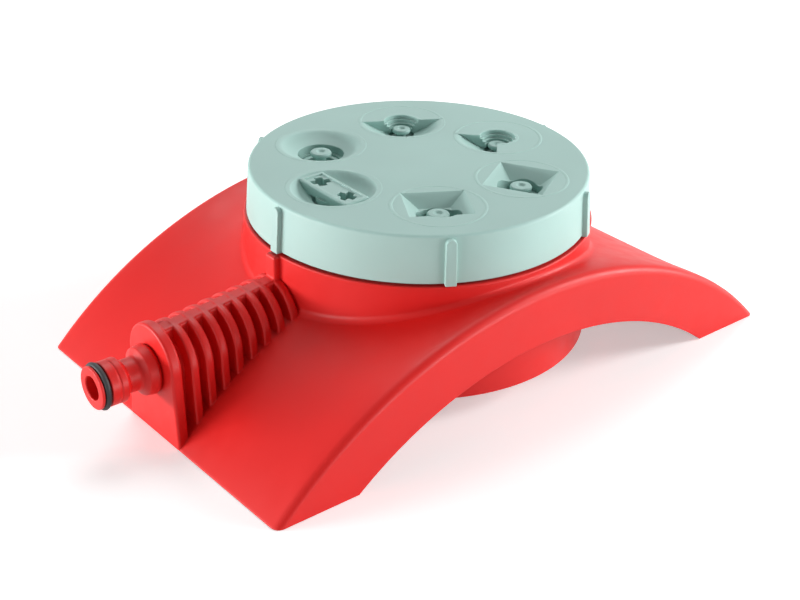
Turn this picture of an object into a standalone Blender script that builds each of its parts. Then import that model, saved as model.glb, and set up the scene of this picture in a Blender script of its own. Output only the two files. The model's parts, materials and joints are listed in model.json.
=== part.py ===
"""Garden sprinkler: a turret with six spray patterns on an arched base.

Units are metres, +Z is up.  The frame's origin lies on the ground at the middle of the
object's box.  The turret turns on an upright axis AXIS_X away from it, and every sub-part
hangs from an empty that stands on that axis.  The hose spigot points along -X.
"""

import math

import bmesh
import bpy
from mathutils import Matrix, Vector

MM = 0.001
GAP = 0.3 * MM

# Arched base
BASE_HALF_LENGTH = 110.0 * MM
BASE_HALF_WIDTH = 68.8 * MM
RIDGE_HEIGHT = 46.8 * MM
RIDGE_ROUND = 2.6 * MM
SADDLE_DIP = 3.0 * MM
BASE_WALL = 2.2 * MM
SKIRT_LOW = -26.0 * MM
ARCH_HALF_SPAN = 79.0 * MM
ARCH_HEIGHT = 27.0 * MM

# Round housing under the turret
HOUSING_RADIUS = 61.0 * MM
HOUSING_BORE = 58.2 * MM
HOUSING_LOW = 7.9 * MM
HOUSING_TOP = 49.9 * MM
DECK_LOW = 44.0 * MM
DECK_TOP = 46.5 * MM
PILLAR_RADIUS = 4.0 * MM
PILLAR_ORBIT = 48.0 * MM
PILLAR_ANGLES = (45, 135, 225, 315)
PILLAR_PILOT = 1.8 * MM
PILOT_TOP = 24.0 * MM
COVER_THICKNESS = 2.5 * MM
COVER_HOLE = 1.9 * MM

# Inlet end: plate, fins and the water channel behind the spigot
CHANNEL_HEIGHT = 24.0 * MM
PLATE_THICKNESS = 4.0 * MM
PLATE_TOP = 39.0 * MM
PLATE_FOOT = 15.5 * MM
FIN_COUNT = 8
FIN_PITCH = 5.55 * MM
FIN_THICKNESS = 2.8 * MM
FIN_FIRST = 102.6 * MM
FIN_HALF_WIDTH = 13.2 * MM
FIN_FOOT = 15.2 * MM
FIN_TOP = 37.1 * MM
FIN_RISE = 0.10
FIN_SINK = 0.4 * MM
LAST_FIN_SINK = 3.0 * MM
CREST_HALF_WIDTH = 1.8 * MM
INDEX_REACH = 2.7 * MM
PIPE_RADIUS = 8.75 * MM
PIPE_END = 27.0 * MM
WEB_END = 78.0 * MM
INLET_STRIP = 17.0 * MM
SOCKET_RADIUS = 7.2 * MM
SOCKET_END = 96.5 * MM
CHANNEL_RADIUS = 5.5 * MM
CHANNEL_END = 31.5 * MM

# Hose spigot, measured outwards from the turret axis
SPIGOT_REACH = 131.0 * MM
SPIGOT_BORE = 4.0 * MM
SPIGOT_NOSE = 7.2 * MM
SPIGOT_BARREL = 7.4 * MM
SPIGOT_NECK = 5.6 * MM
SPIGOT_FLANGE = 8.5 * MM
SPIGOT_TAIL = 6.9 * MM
O_RING_TUBE = 1.0 * MM
O_RING_RADIUS = 6.9 * MM
INLET_SEAL_TUBE = 0.7 * MM
INLET_SEAL_RADIUS = 6.2 * MM

# Turret
TURRET_RADIUS = 60.0 * MM
TURRET_RIM = 59.0 * MM
TURRET_LOW = 50.5 * MM
TURRET_TOP = 67.3 * MM
TURRET_BEVEL = 1.0 * MM
TURRET_WALL = 2.8 * MM
ROOF = 2.2 * MM
LIP_RADIUS = 57.8 * MM
LIP_LOW = 49.3 * MM
RIB_COUNT = 6
RIB_WIDTH = 3.5 * MM
RIB_REACH = 1.75 * MM
STATION_ORBIT = 37.0 * MM
BOSS_RADIUS = 15.5 * MM
BOSS_LOW = 60.0 * MM
DISH_RADIUS = 14.5 * MM
DISH_DEPTH = 3.6 * MM
POCKET_RADIUS = 7.2 * MM

# Port plate under the cap, with the hub the turret turns on
PORT_PLATE_RADIUS = 56.5 * MM
PORT_PLATE_LOW = 47.0 * MM
PORT_PLATE_TOP = 49.0 * MM
PORT_TUBE_RADIUS = 8.0 * MM
PORT_TUBE_BORE = 6.5 * MM
PORT_TUBE_TOP = 58.0 * MM
PORT_HOLE = 4.0 * MM
HUB_RADIUS = 6.0 * MM
HUB_LOW = 27.0 * MM
SLEEVE_RADIUS = 11.0 * MM
SLEEVE_BORE = 6.3 * MM
SLEEVE_LOW = 34.0 * MM
PLATE_SCREW_ORBIT = 48.0 * MM
PLATE_SCREW_ANGLES = (30, 150, 270)
SCREW_PAD_TOP = 51.0 * MM
SCREW_PAD_RADIUS = 4.6 * MM
SCREW_BOSS_RADIUS = 3.6 * MM
SCREW_SINK_RADIUS = 3.0 * MM
PLATE_HOLE = 1.7 * MM
PLATE_PILOT_TOP = 62.0 * MM
PIVOT_PILOT = 1.9 * MM
PIVOT_PILOT_DEPTH = 12.0 * MM

# Sprung seal under the chosen station
WELL_RADIUS = 9.3 * MM
WELL_BORE = 7.8 * MM
WELL_FLOOR = 33.0 * MM
WELL_HOLE = 4.5 * MM
SEAL_RADIUS = 7.4 * MM
SEAL_BORE = 4.5 * MM
SEAL_LOW = 40.5 * MM

# Nozzle inserts
INSERT_RADIUS = 6.9 * MM
INSERT_TUBE = 6.2 * MM
INSERT_BORE = 5.2 * MM
INSERT_LOW = 52.0 * MM
INSERT_TOP = 61.6 * MM
BUTTON_RADIUS = 3.8 * MM
BUTTON_TOP = 64.3 * MM
STEM_RADIUS = 1.6 * MM
WEB_HALF_WIDTH = 0.8 * MM
JET_BAR_HALF_WIDTH = 3.8 * MM
JET_BAR_HALF_LENGTH = 13.2 * MM
JET_BAR_TOP = 66.8 * MM
JET_BAR_LOW = 63.0 * MM
JET_OFFSET = 8.0 * MM
JET_DISH_FLOOR = 62.7 * MM
JET_HOLE = 2.6 * MM
JET_HOLE_DEPTH = 2.4 * MM

# Shaped dishes: inner and outer edge from the station's middle, and half width
SQUARE_DISH = (-11.0 * MM, 10.0 * MM, 11.0 * MM)
RECTANGLE_DISH = (-12.0 * MM, 7.5 * MM, 11.5 * MM)
HALF_CIRCLE_CHORD = 1.0 * MM
QUARTER_CIRCLE_EDGES = (132, 226)
WETTED_HALF_ANGLE = {"half_circle": 86, "quarter_circle": 47}

# Springs: radius of the coil, wire and turns
PORT_SPRING = (6.2 * MM, 1.2 * MM, 3)
PIVOT_SPRING = (7.6 * MM, 1.3 * MM, 2.5)

# Screws: length under the head, head radius, head height and shank radius
COVER_SCREW = (11.0 * MM, 3.2 * MM, 2.0 * MM, 1.5 * MM)
PLATE_SCREW = (11.0 * MM, 2.7 * MM, 1.3 * MM, 1.4 * MM)
PIVOT_SCREW = (13.0 * MM, 4.0 * MM, 2.5 * MM, 1.6 * MM)
WASHER_RADIUS = 9.5 * MM
WASHER_HOLE = 2.0 * MM
WASHER_THICKNESS = 1.6 * MM

STATIONS = (
    ("full_circle", 120),
    ("half_circle", 60),
    ("quarter_circle", 0),
    ("square", 300),
    ("rectangle", 240),
    ("jets", 180),
)

# Worked out from the sizes above
AXIS_X = (SPIGOT_REACH - BASE_HALF_LENGTH) / 2
DISH_FLOOR = TURRET_TOP - DISH_DEPTH
ABOVE = 0.5 * MM


def arc_radius(half_span, rise):
    """Radius of the arc that rises by rise over a chord of twice half_span."""
    return (half_span ** 2 + rise ** 2) / (2 * rise)


RIDGE_ARC = arc_radius(BASE_HALF_LENGTH, RIDGE_HEIGHT)
ARCH_ARC = arc_radius(ARCH_HALF_SPAN, ARCH_HEIGHT)

# Materials: colour, roughness, metallic
RED = ("red_moulding", (0.84, 0.05, 0.04), 0.32, 0.0)
GREEN = ("pale_green_moulding", (0.42, 0.62, 0.56), 0.40, 0.0)
WHITE = ("natural_moulding", (0.80, 0.80, 0.76), 0.45, 0.0)
BLACK = ("black_rubber", (0.015, 0.015, 0.016), 0.60, 0.0)
STEEL = ("zinc_plated_steel", (0.62, 0.63, 0.65), 0.35, 1.0)


# Scene helpers

def clear_scene():
    """Remove the objects of the scene that is open."""
    for thing in list(bpy.data.objects):
        bpy.data.objects.remove(thing, do_unlink=True)


def make_collection(name):
    """A new collection under the scene's own."""
    home = bpy.data.collections.new(name)
    bpy.context.scene.collection.children.link(home)
    return home


def make_material(spec):
    """A Principled material from its name, colour, roughness and metallic value."""
    name, colour, roughness, metallic = spec
    material = bpy.data.materials.get(name)
    if material is None:
        material = bpy.data.materials.new(name)
        material.use_nodes = True
        shader = material.node_tree.nodes["Principled BSDF"]
        shader.inputs["Base Color"].default_value = (*colour, 1.0)
        shader.inputs["Roughness"].default_value = roughness
        shader.inputs["Metallic"].default_value = metallic
        material.diffuse_color = (*colour, 1.0)
    return material


clear_scene()
PARTS = make_collection("garden_sprinkler")
CUTTERS = make_collection("cutters")
AXIS = bpy.data.objects.new("turret_axis", None)
AXIS.location = (AXIS_X, 0.0, 0.0)
PARTS.objects.link(AXIS)


def add_object(name, mesh, spec=None):
    """An object on the turret axis: a sub-part with a material, or a cutter without."""
    thing = bpy.data.objects.new(name, mesh)
    thing.parent = AXIS
    if spec is None:
        CUTTERS.objects.link(thing)
        thing.hide_render = True
        thing.display_type = "WIRE"
    else:
        PARTS.objects.link(thing)
        mesh.materials.append(make_material(spec))
        mesh.shade_smooth()
        mesh.set_sharp_from_angle(angle=math.radians(35))
    return thing


def object_from(bm, name, spec=None):
    """Write a bmesh to a new object."""
    mesh = bpy.data.meshes.new(name)
    bm.to_mesh(mesh)
    bm.free()
    return add_object(name, mesh, spec)


def turned(name, profile, spec=None, steps=48):
    """A ring or solid of revolution from (radius, height) points, outer side downwards."""
    mesh = bpy.data.meshes.new(name)
    points = [(radius, 0.0, height) for radius, height in profile]
    edges = [(i, i + 1) for i in range(len(points) - 1)]
    if profile[0][0] > 0.0:
        edges.append((len(points) - 1, 0))
    mesh.from_pydata(points, edges, [])
    thing = add_object(name, mesh, spec)
    screw = thing.modifiers.new("turn", "SCREW")
    screw.steps = steps
    screw.render_steps = steps
    screw.use_merge_vertices = True
    screw.merge_threshold = 0.00001
    return thing


def along_inlet(thing):
    """Lay a turned piece down so that its heights run out along the inlet."""
    thing.rotation_euler = (0.0, -math.pi / 2, 0.0)
    thing.location = (0.0, 0.0, CHANNEL_HEIGHT)
    return thing


def combine(target, tool, operation, solver):
    """One Boolean step."""
    step = target.modifiers.new(tool.name, "BOOLEAN")
    step.operation = operation
    step.object = tool
    step.solver = solver


def cut(target, *tools, solver="EXACT"):
    """Subtract cutters from a piece."""
    for tool in tools:
        combine(target, tool, "DIFFERENCE", solver)


def join(target, *tools, solver="EXACT"):
    """Fuse solids onto a piece."""
    for tool in tools:
        combine(target, tool, "UNION", solver)


# Mesh helpers

def polar(radius, degrees):
    """The point at a radius and an angle about the turret axis."""
    angle = math.radians(degrees)
    return (radius * math.cos(angle), radius * math.sin(angle))


def add_cylinder(bm, radius, low, high, at=(0.0, 0.0), sides=24, top_radius=None):
    """An upright cylinder or cone."""
    bmesh.ops.create_cone(
        bm, cap_ends=True, cap_tris=False, segments=sides, radius1=radius,
        radius2=radius if top_radius is None else top_radius, depth=high - low,
        matrix=Matrix.Translation((at[0], at[1], (low + high) / 2)))


def add_box(bm, low, high, matrix=Matrix.Identity(4)):
    """A box between two corners, then moved by a matrix."""
    low, high = Vector(low), Vector(high)
    middle = Matrix.Translation((low + high) / 2)
    size = Matrix.Diagonal((*(high - low), 1.0))
    bmesh.ops.create_cube(bm, size=1.0, matrix=matrix @ middle @ size)


def add_slab(bm, outline, low, high, matrix=Matrix.Identity(4)):
    """A flat outline in x and y, thick from low to high, then moved by a matrix."""
    curve = bpy.data.curves.new("outline", "CURVE")
    curve.dimensions = "2D"
    curve.fill_mode = "BOTH"
    curve.extrude = (high - low) / 2
    spline = curve.splines.new("POLY")
    spline.points.add(len(outline) - 1)
    for point, (x, y) in zip(spline.points, outline):
        point.co = (x, y, 0.0, 1.0)
    spline.use_cyclic_u = True
    guide = bpy.data.objects.new("outline", curve)
    CUTTERS.objects.link(guide)
    depsgraph = bpy.context.evaluated_depsgraph_get()
    slab = bpy.data.meshes.new_from_object(guide.evaluated_get(depsgraph))
    slab.transform(matrix @ Matrix.Translation((0.0, 0.0, (low + high) / 2)))
    solid = bmesh.new()
    solid.from_mesh(slab)
    bmesh.ops.remove_doubles(solid, verts=solid.verts, dist=0.000001)
    bmesh.ops.recalc_face_normals(solid, faces=solid.faces)
    solid.to_mesh(slab)
    solid.free()
    bm.from_mesh(slab)
    bpy.data.meshes.remove(slab)
    bpy.data.objects.remove(guide)
    bpy.data.curves.remove(curve)


def slice_off(bm, point, normal):
    """Cut a convex solid on a plane and close it, leaving the side behind the normal."""
    everything = bm.verts[:] + bm.edges[:] + bm.faces[:]
    bmesh.ops.bisect_plane(bm, geom=everything, plane_co=point, plane_no=normal,
                           clear_outer=True)
    rim = [edge for edge in bm.edges if edge.is_boundary]
    bmesh.ops.holes_fill(bm, edges=rim)


def station_frame(degrees):
    """Matrix of a station: x points outwards from the turret axis."""
    turn = Matrix.Rotation(math.radians(degrees), 4, "Z")
    return turn @ Matrix.Translation((STATION_ORBIT, 0.0, 0.0))


# Base

def ridge_height(x):
    """Height of the arched side faces."""
    return RIDGE_HEIGHT - RIDGE_ARC + math.sqrt(RIDGE_ARC ** 2 - x ** 2)


def saddle_height(x, y):
    """Height of the top surface, which dips between the two ridges."""
    across = 1 - (y / BASE_HALF_WIDTH) ** 4
    along = max(0.0, 1 - (x / BASE_HALF_LENGTH) ** 2)
    return ridge_height(x) - SADDLE_DIP * across * along


def saddle_section(x):
    """Half of the base's skin across one x, from the skirt's edge to the middle."""
    ridge = ridge_height(x)
    corner = 1 - math.sqrt(0.5)
    side = BASE_HALF_WIDTH
    points = [
        (side, SKIRT_LOW),
        (side, ridge - RIDGE_ROUND),
        (side - corner * RIDGE_ROUND, ridge - corner * RIDGE_ROUND),
    ]
    inner = side - RIDGE_ROUND
    shares = (1.0, 0.78, 0.45, 0.0)
    for share in shares:
        y = inner * share
        points.append((y, saddle_height(x, y)))
    return points


def saddle_skin(name, spec=None):
    """The base's outer skin: a grid that is lifted onto the sections.

    It runs one column past each foot edge and below the ground, where it is cut off.
    """
    columns = 22
    reach = BASE_HALF_LENGTH * columns / (columns - 2)
    half = saddle_section(0.0)
    rows = 2 * len(half) - 2
    bm = bmesh.new()
    bmesh.ops.create_grid(bm, x_segments=columns, y_segments=rows, size=1.0)
    for vert in bm.verts:
        x = vert.co.x * reach
        row = round((vert.co.y + 1) / 2 * rows)
        section = saddle_section(x)
        if row < len(section):
            y, z = section[row]
            vert.co = (x, -y, z)
        else:
            y, z = section[rows - row]
            vert.co = (x, y, z)
    skin = object_from(bm, name, spec)
    wall = skin.modifiers.new("wall", "SOLIDIFY")
    wall.thickness = BASE_WALL
    wall.offset = -1.0
    wall.use_even_offset = True
    wall.use_quality_normals = True
    return skin


def tombstone(half_width, foot, low, top):
    """Outline of a plate or fin: feet apart, sides drawn in, a round head."""
    spring = top - half_width
    points = [(-foot, low), (foot, low)]
    arc = [math.radians(180 * i / 8) for i in range(9)]
    points += [(half_width * math.cos(a), spring + half_width * math.sin(a)) for a in arc]
    return points


UPRIGHT = Matrix.Rotation(math.pi / 2, 4, "X")
ACROSS = Matrix.Rotation(math.pi / 2, 4, "Z") @ UPRIGHT


def fin_top(x):
    """Height of the fin tops, which climb towards the housing."""
    return FIN_TOP + FIN_RISE * (x + BASE_HALF_LENGTH)


def fin_foot(x, low):
    """Half width of a fin at its foot: the sides spread on towards the ground."""
    spring = fin_top(x) - FIN_HALF_WIDTH
    return FIN_HALF_WIDTH + (FIN_FOOT - FIN_HALF_WIDTH) * (spring - low) / spring


def plate_and_fins():
    """The inlet's end plate and the fins behind it, as separate slabs.

    The last fin runs back and down into the corner between the housing and the saddle.
    """
    bm = bmesh.new()
    under_ground = -2.0 * MM
    plate = tombstone(FIN_HALF_WIDTH, PLATE_FOOT, under_ground, PLATE_TOP)
    add_slab(bm, plate, -BASE_HALF_LENGTH, -BASE_HALF_LENGTH + PLATE_THICKNESS, ACROSS)
    for i in range(FIN_COUNT):
        x = -FIN_FIRST + i * FIN_PITCH
        last = i == FIN_COUNT - 1
        low = saddle_height(x, 0.0) - (LAST_FIN_SINK if last else FIN_SINK)
        fin = tombstone(FIN_HALF_WIDTH, fin_foot(x, low), low, fin_top(x))
        back = -HOUSING_BORE + MM if last else x + FIN_THICKNESS
        add_slab(bm, fin, x, back, ACROSS)
    return object_from(bm, "plate_and_fins")


def channel_web():
    """Fills the space between the water pipe and the top of the base in front of it."""
    start, end = PLATE_THICKNESS - MM - BASE_HALF_LENGTH, -WEB_END
    count = 5
    stations = [start + (end - start) * i / count for i in range(count)]
    into_skin = 0.8 * MM
    outline = [(x, saddle_height(x, 0.0) - into_skin) for x in stations]
    inside = CHANNEL_HEIGHT - 1.1 * MM
    outline += [(end, inside), (start, inside)]
    bm = bmesh.new()
    reach = PIPE_RADIUS - 0.45 * MM
    add_slab(bm, outline, -reach, reach, UPRIGHT)
    return object_from(bm, "channel_web")


def crest_and_index():
    """The crest over the channel, which climbs the housing as the index rib."""
    start = -BASE_HALF_LENGTH + PLATE_THICKNESS / 2
    rib = -HOUSING_RADIUS - INDEX_REACH
    inside = -HOUSING_RADIUS + 1.2 * MM
    drop = 0.6 * MM
    outline = [
        (start, CHANNEL_HEIGHT),
        (inside, CHANNEL_HEIGHT),
        (inside, HOUSING_TOP - drop),
        (rib, HOUSING_TOP - drop),
        (rib, fin_top(rib) - drop),
        (start, fin_top(start) - drop),
    ]
    bm = bmesh.new()
    add_slab(bm, outline, -CREST_HALF_WIDTH, CREST_HALF_WIDTH, UPRIGHT)
    return object_from(bm, "crest_and_index")


def inner_columns():
    """Pivot sleeve and cover pillars under the deck."""
    bm = bmesh.new()
    into_deck = DECK_TOP - 1.0 * MM
    add_cylinder(bm, SLEEVE_RADIUS, SLEEVE_LOW, into_deck, sides=20)
    low = HOUSING_LOW + COVER_THICKNESS + GAP
    for degrees in PILLAR_ANGLES:
        add_cylinder(bm, PILLAR_RADIUS, low, into_deck, at=polar(PILLAR_ORBIT, degrees), sides=12)
    return object_from(bm, "inner_columns")


def inner_holes():
    """Bore of the pivot sleeve and pilot holes of the pillars."""
    bm = bmesh.new()
    add_cylinder(bm, SLEEVE_BORE, SLEEVE_LOW - MM, DECK_TOP + MM, sides=20)
    for degrees in PILLAR_ANGLES:
        add_cylinder(bm, PILLAR_PILOT, HOUSING_LOW, PILOT_TOP, at=polar(PILLAR_ORBIT, degrees),
                     sides=8)
    return object_from(bm, "inner_holes")


def side_arches():
    """The arches cut out of the two side faces."""
    bm = bmesh.new()
    centre = ARCH_HEIGHT - ARCH_ARC
    for side in (-1, 1):
        matrix = Matrix.Translation((0.0, side * BASE_HALF_WIDTH, centre)) @ UPRIGHT
        bmesh.ops.create_cone(bm, cap_ends=True, segments=128, radius1=ARCH_ARC,
                              radius2=ARCH_ARC, depth=8 * MM, matrix=matrix)
    return object_from(bm, "side_arches")


def below_ground():
    """Everything under the plane the base stands on."""
    bm = bmesh.new()
    reach = 150 * MM
    add_box(bm, (-reach, -reach, -40 * MM), (reach, reach, 0.0))
    return object_from(bm, "below_ground")


def inlet_strip(half_width):
    """The strip of the base, from its foot edge to the housing, that the inlet stands on."""
    bm = bmesh.new()
    add_box(bm, (-150 * MM, -half_width, -50 * MM), (-50 * MM, half_width, 80 * MM))
    return object_from(bm, "inlet_strip")


def upright(name, radius, sides=64):
    """A tall cylinder on the turret axis."""
    bm = bmesh.new()
    add_cylinder(bm, radius, -60 * MM, 80 * MM, sides=sides)
    return object_from(bm, name)


def housing_solid():
    """The housing before it is hollowed, with a small bevel on its top edge."""
    bevel = 0.5 * MM
    profile = [
        (0.0, HOUSING_TOP),
        (HOUSING_RADIUS - bevel, HOUSING_TOP),
        (HOUSING_RADIUS, HOUSING_TOP - bevel),
        (HOUSING_RADIUS, HOUSING_LOW),
        (0.0, HOUSING_LOW),
    ]
    return turned("turret_housing", profile, RED, steps=64)


def housing_room():
    """The room under the deck, less what stands in it, and the turret's recess."""
    bm = bmesh.new()
    add_cylinder(bm, HOUSING_BORE, HOUSING_LOW - 10 * MM, DECK_LOW, sides=64)
    add_cylinder(bm, HOUSING_BORE, DECK_TOP, HOUSING_TOP + 5 * MM, sides=64)
    room = object_from(bm, "housing_room")
    cut(room, inner_columns())
    return room


def pipe_run(name, radius, far, near, spec=None):
    """A stretch of the water pipe, measured from the turret axis."""
    profile = [(0.0, far), (radius, far), (radius, near), (0.0, near)]
    return along_inlet(turned(name, profile, spec, steps=20))


def water_bore():
    """The spigot's socket and the channel behind it."""
    profile = [
        (0.0, BASE_HALF_LENGTH + 2 * MM),
        (SOCKET_RADIUS, BASE_HALF_LENGTH + 2 * MM),
        (SOCKET_RADIUS, SOCKET_END),
        (CHANNEL_RADIUS, SOCKET_END),
        (CHANNEL_RADIUS, CHANNEL_END),
        (0.0, CHANNEL_END),
    ]
    return along_inlet(turned("water_bore", profile, steps=16))


def well_bore():
    """The seal's well and the hole that feeds it."""
    profile = [
        (0.0, DECK_TOP + MM),
        (WELL_BORE, DECK_TOP + MM),
        (WELL_BORE, WELL_FLOOR),
        (WELL_HOLE, WELL_FLOOR),
        (WELL_HOLE, CHANNEL_HEIGHT),
        (0.0, CHANNEL_HEIGHT),
    ]
    bore = turned("well_bore", profile, steps=20)
    bore.location = (-STATION_ORBIT, 0.0, 0.0)
    return bore


def make_base_shell():
    """The saddle of the red moulding, open where the housing and the inlet end stand."""
    shell = saddle_skin("base_shell", RED)
    removed = (side_arches(), upright("housing_gap", HOUSING_RADIUS + GAP),
               inlet_strip(INLET_STRIP + GAP), below_ground())
    cut(shell, *removed, solver="MANIFOLD")


def make_inlet_end():
    """The inlet end of the red moulding: its strip of the saddle, plate, fins and pipe.

    Fins, pipe and crest cross at so many small faces that only the manifold solver
    keeps the result closed.
    """
    end = saddle_skin("inlet_end", RED)
    pipe = pipe_run("inlet_pipe", PIPE_RADIUS, BASE_HALF_LENGTH - MM, HOUSING_RADIUS - 5 * MM)
    combine(end, inlet_strip(INLET_STRIP), "INTERSECT", "MANIFOLD")
    join(end, plate_and_fins(), channel_web(), crest_and_index(), pipe, solver="MANIFOLD")
    removed = (upright("inlet_gap", HOUSING_RADIUS + GAP), water_bore(), below_ground())
    cut(end, *removed, solver="MANIFOLD")


def make_turret_housing():
    """The round housing of the red moulding, with deck, pivot sleeve and pillars."""
    housing = housing_solid()
    way = pipe_run("pipe_gap", PIPE_RADIUS + GAP, HOUSING_RADIUS + 5 * MM, 50 * MM)
    cut(housing, housing_room(), way, well_bore(), inner_holes(), solver="MANIFOLD")


def make_seal_well():
    """The end of the water pipe in the housing, and the well for the seal on it."""
    well = pipe_run("seal_well", PIPE_RADIUS, HOUSING_RADIUS + 5 * MM, PIPE_END, RED)
    bm = bmesh.new()
    add_cylinder(bm, WELL_RADIUS, CHANNEL_HEIGHT, DECK_LOW - GAP, at=(-STATION_ORBIT, 0.0),
                 sides=20)
    combine(well, upright("well_end", HOUSING_RADIUS), "INTERSECT", "MANIFOLD")
    join(well, object_from(bm, "well_wall"), solver="MANIFOLD")
    cut(well, water_bore(), well_bore(), solver="MANIFOLD")


def make_bottom_cover():
    """The disc that closes the housing from below."""
    radius = HOUSING_BORE - 2 * GAP
    profile = [
        (0.0, HOUSING_LOW + COVER_THICKNESS),
        (radius, HOUSING_LOW + COVER_THICKNESS),
        (radius, HOUSING_LOW),
        (0.0, HOUSING_LOW),
    ]
    cover = turned("bottom_cover", profile, RED, steps=64)
    bm = bmesh.new()
    for degrees in PILLAR_ANGLES:
        add_cylinder(bm, COVER_HOLE, HOUSING_LOW - MM, HOUSING_LOW + 4 * MM,
                     at=polar(PILLAR_ORBIT, degrees), sides=8)
    cut(cover, object_from(bm, "cover_holes"))


# Inlet

def make_inlet_spigot():
    """The hose spigot, from its nose in to the tail that sits in the socket."""
    plate = BASE_HALF_LENGTH + GAP
    groove_out = SPIGOT_REACH - 0.9 * MM
    groove_in = SPIGOT_REACH - 3.5 * MM
    barrel_end = SPIGOT_REACH - 9.3 * MM
    neck_end = SPIGOT_REACH - 15.0 * MM
    flange_end = SPIGOT_REACH - 19.7 * MM
    tail_groove = plate - 5.0 * MM
    tail_land = plate - 7.2 * MM
    tip = SOCKET_END + 1.0 * MM
    bevel = 0.4 * MM
    o_ring_bed = O_RING_RADIUS - O_RING_TUBE - GAP
    seal_bed = INLET_SEAL_RADIUS - INLET_SEAL_TUBE - GAP
    profile = [
        (SPIGOT_BORE, SPIGOT_REACH),
        (SPIGOT_NOSE - bevel, SPIGOT_REACH),
        (SPIGOT_NOSE, SPIGOT_REACH - bevel),
        (SPIGOT_NOSE, groove_out),
        (o_ring_bed, groove_out),
        (o_ring_bed, groove_in),
        (SPIGOT_BARREL, groove_in),
        (SPIGOT_BARREL, barrel_end),
        (SPIGOT_NECK, barrel_end - 1.3 * MM),
        (SPIGOT_NECK, neck_end),
        (SPIGOT_FLANGE - 0.5 * MM, neck_end - 1.6 * MM),
        (SPIGOT_FLANGE, flange_end),
        (SPIGOT_FLANGE - 0.6 * MM, plate),
        (SPIGOT_TAIL, plate),
        (SPIGOT_TAIL, tail_groove),
        (seal_bed, tail_groove),
        (seal_bed, tail_land),
        (SPIGOT_TAIL, tail_land),
        (SPIGOT_TAIL, tip),
        (SPIGOT_BORE, tip),
    ]
    along_inlet(turned("inlet_spigot", profile, RED, steps=24))


def rubber_ring(name, radius, tube, height, points=6):
    """A rubber ring of round section."""
    step = 2 * math.pi / points
    angles = [math.pi / 2 - step * i for i in range(points)]
    profile = [(radius + tube * math.cos(a), height + tube * math.sin(a)) for a in angles]
    return turned(name, profile, BLACK, steps=24)


def make_rings():
    """The O-ring behind the nose and the seal on the spigot's tail."""
    along_inlet(rubber_ring("spigot_o_ring", O_RING_RADIUS, O_RING_TUBE,
                            SPIGOT_REACH - 2.2 * MM))
    along_inlet(rubber_ring("inlet_seal", INLET_SEAL_RADIUS, INLET_SEAL_TUBE,
                            BASE_HALF_LENGTH + GAP - 6.1 * MM))


# Seal and springs

def make_port_seal():
    """The rubber seal that slides in its well."""
    top = PORT_PLATE_LOW - GAP
    chamfer = 0.6 * MM
    profile = [
        (SEAL_BORE, top),
        (SEAL_RADIUS - chamfer, top),
        (SEAL_RADIUS, top - chamfer),
        (SEAL_RADIUS, SEAL_LOW),
        (SEAL_BORE, SEAL_LOW),
    ]
    seal = turned("port_seal", profile, BLACK, steps=20)
    seal.location = (-STATION_ORBIT, 0.0, 0.0)


def coil_points(radius, low, high, wire, turns, per_turn):
    """Points up the middle of a spring's wire."""
    start, end = low + wire / 2, high - wire / 2
    count = int(turns * per_turn)
    points = []
    for i in range(count + 1):
        angle = 2 * math.pi * i / per_turn
        height = start + (end - start) * i / count
        points.append(Vector((radius * math.cos(angle), radius * math.sin(angle), height)))
    return points


def least_gap(points, wire, per_turn):
    """The least free space between a spring's turns, measured between its points."""
    gaps = []
    for i, first in enumerate(points):
        for second in points[i + per_turn // 2 + 1:]:
            gaps.append((second - first).length - wire)
    return min(gaps)


def make_spring(name, size, low, high, at=(0.0, 0.0)):
    """A coil spring: one unbroken round tube."""
    radius, wire, turns = size
    per_turn = 8
    points = coil_points(radius, low, high, wire, turns, per_turn)
    print(name, "least gap between turns, mm:", round(least_gap(points, wire, per_turn) / MM, 2))
    curve = bpy.data.curves.new(name, "CURVE")
    curve.dimensions = "3D"
    curve.bevel_depth = wire / 2
    curve.bevel_resolution = 1
    curve.use_fill_caps = True
    spline = curve.splines.new("POLY")
    spline.points.add(len(points) - 1)
    for target, point in zip(spline.points, points):
        target.co = (*point, 1.0)
    spring = bpy.data.objects.new(name, curve)
    PARTS.objects.link(spring)
    spring.parent = AXIS
    spring.location = (at[0], at[1], 0.0)
    curve.materials.append(make_material(STEEL))


def make_springs():
    """The spring under the seal and the one that holds the turret down."""
    make_spring("port_spring", PORT_SPRING, WELL_FLOOR + GAP, SEAL_LOW - GAP,
                at=(-STATION_ORBIT, 0.0))
    make_spring("pivot_spring", PIVOT_SPRING, HUB_LOW, SLEEVE_LOW - GAP)


# Screws

def make_screw(name, at, head_low, size):
    """A pan head screw that points upwards, with a cross recess in its head."""
    length, head_radius, head_height, shank = size
    tip = head_low + head_height + length
    profile = [
        (0.0, tip),
        (shank * 0.5, tip),
        (shank, tip - 2 * shank),
        (shank, head_low + head_height),
        (head_radius, head_low + head_height),
        (head_radius, head_low + 0.45 * head_height),
        (head_radius * 0.72, head_low),
        (0.0, head_low),
    ]
    screw = turned(name, profile, STEEL, steps=12)
    screw.location = (at[0], at[1], 0.0)
    arm, half = head_radius * 0.55, head_radius * 0.14
    outline = [
        (arm, -half), (arm, half), (half, half), (half, arm), (-half, arm), (-half, half),
        (-arm, half), (-arm, -half), (-half, -half), (-half, -arm), (half, -arm), (half, -half),
    ]
    bm = bmesh.new()
    place = Matrix.Translation((at[0], at[1], 0.0)) @ Matrix.Rotation(math.radians(7), 4, "Z")
    add_slab(bm, outline, head_low - MM, head_low + 0.55 * head_height, place)
    cut(screw, object_from(bm, name + "_recess"))


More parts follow.
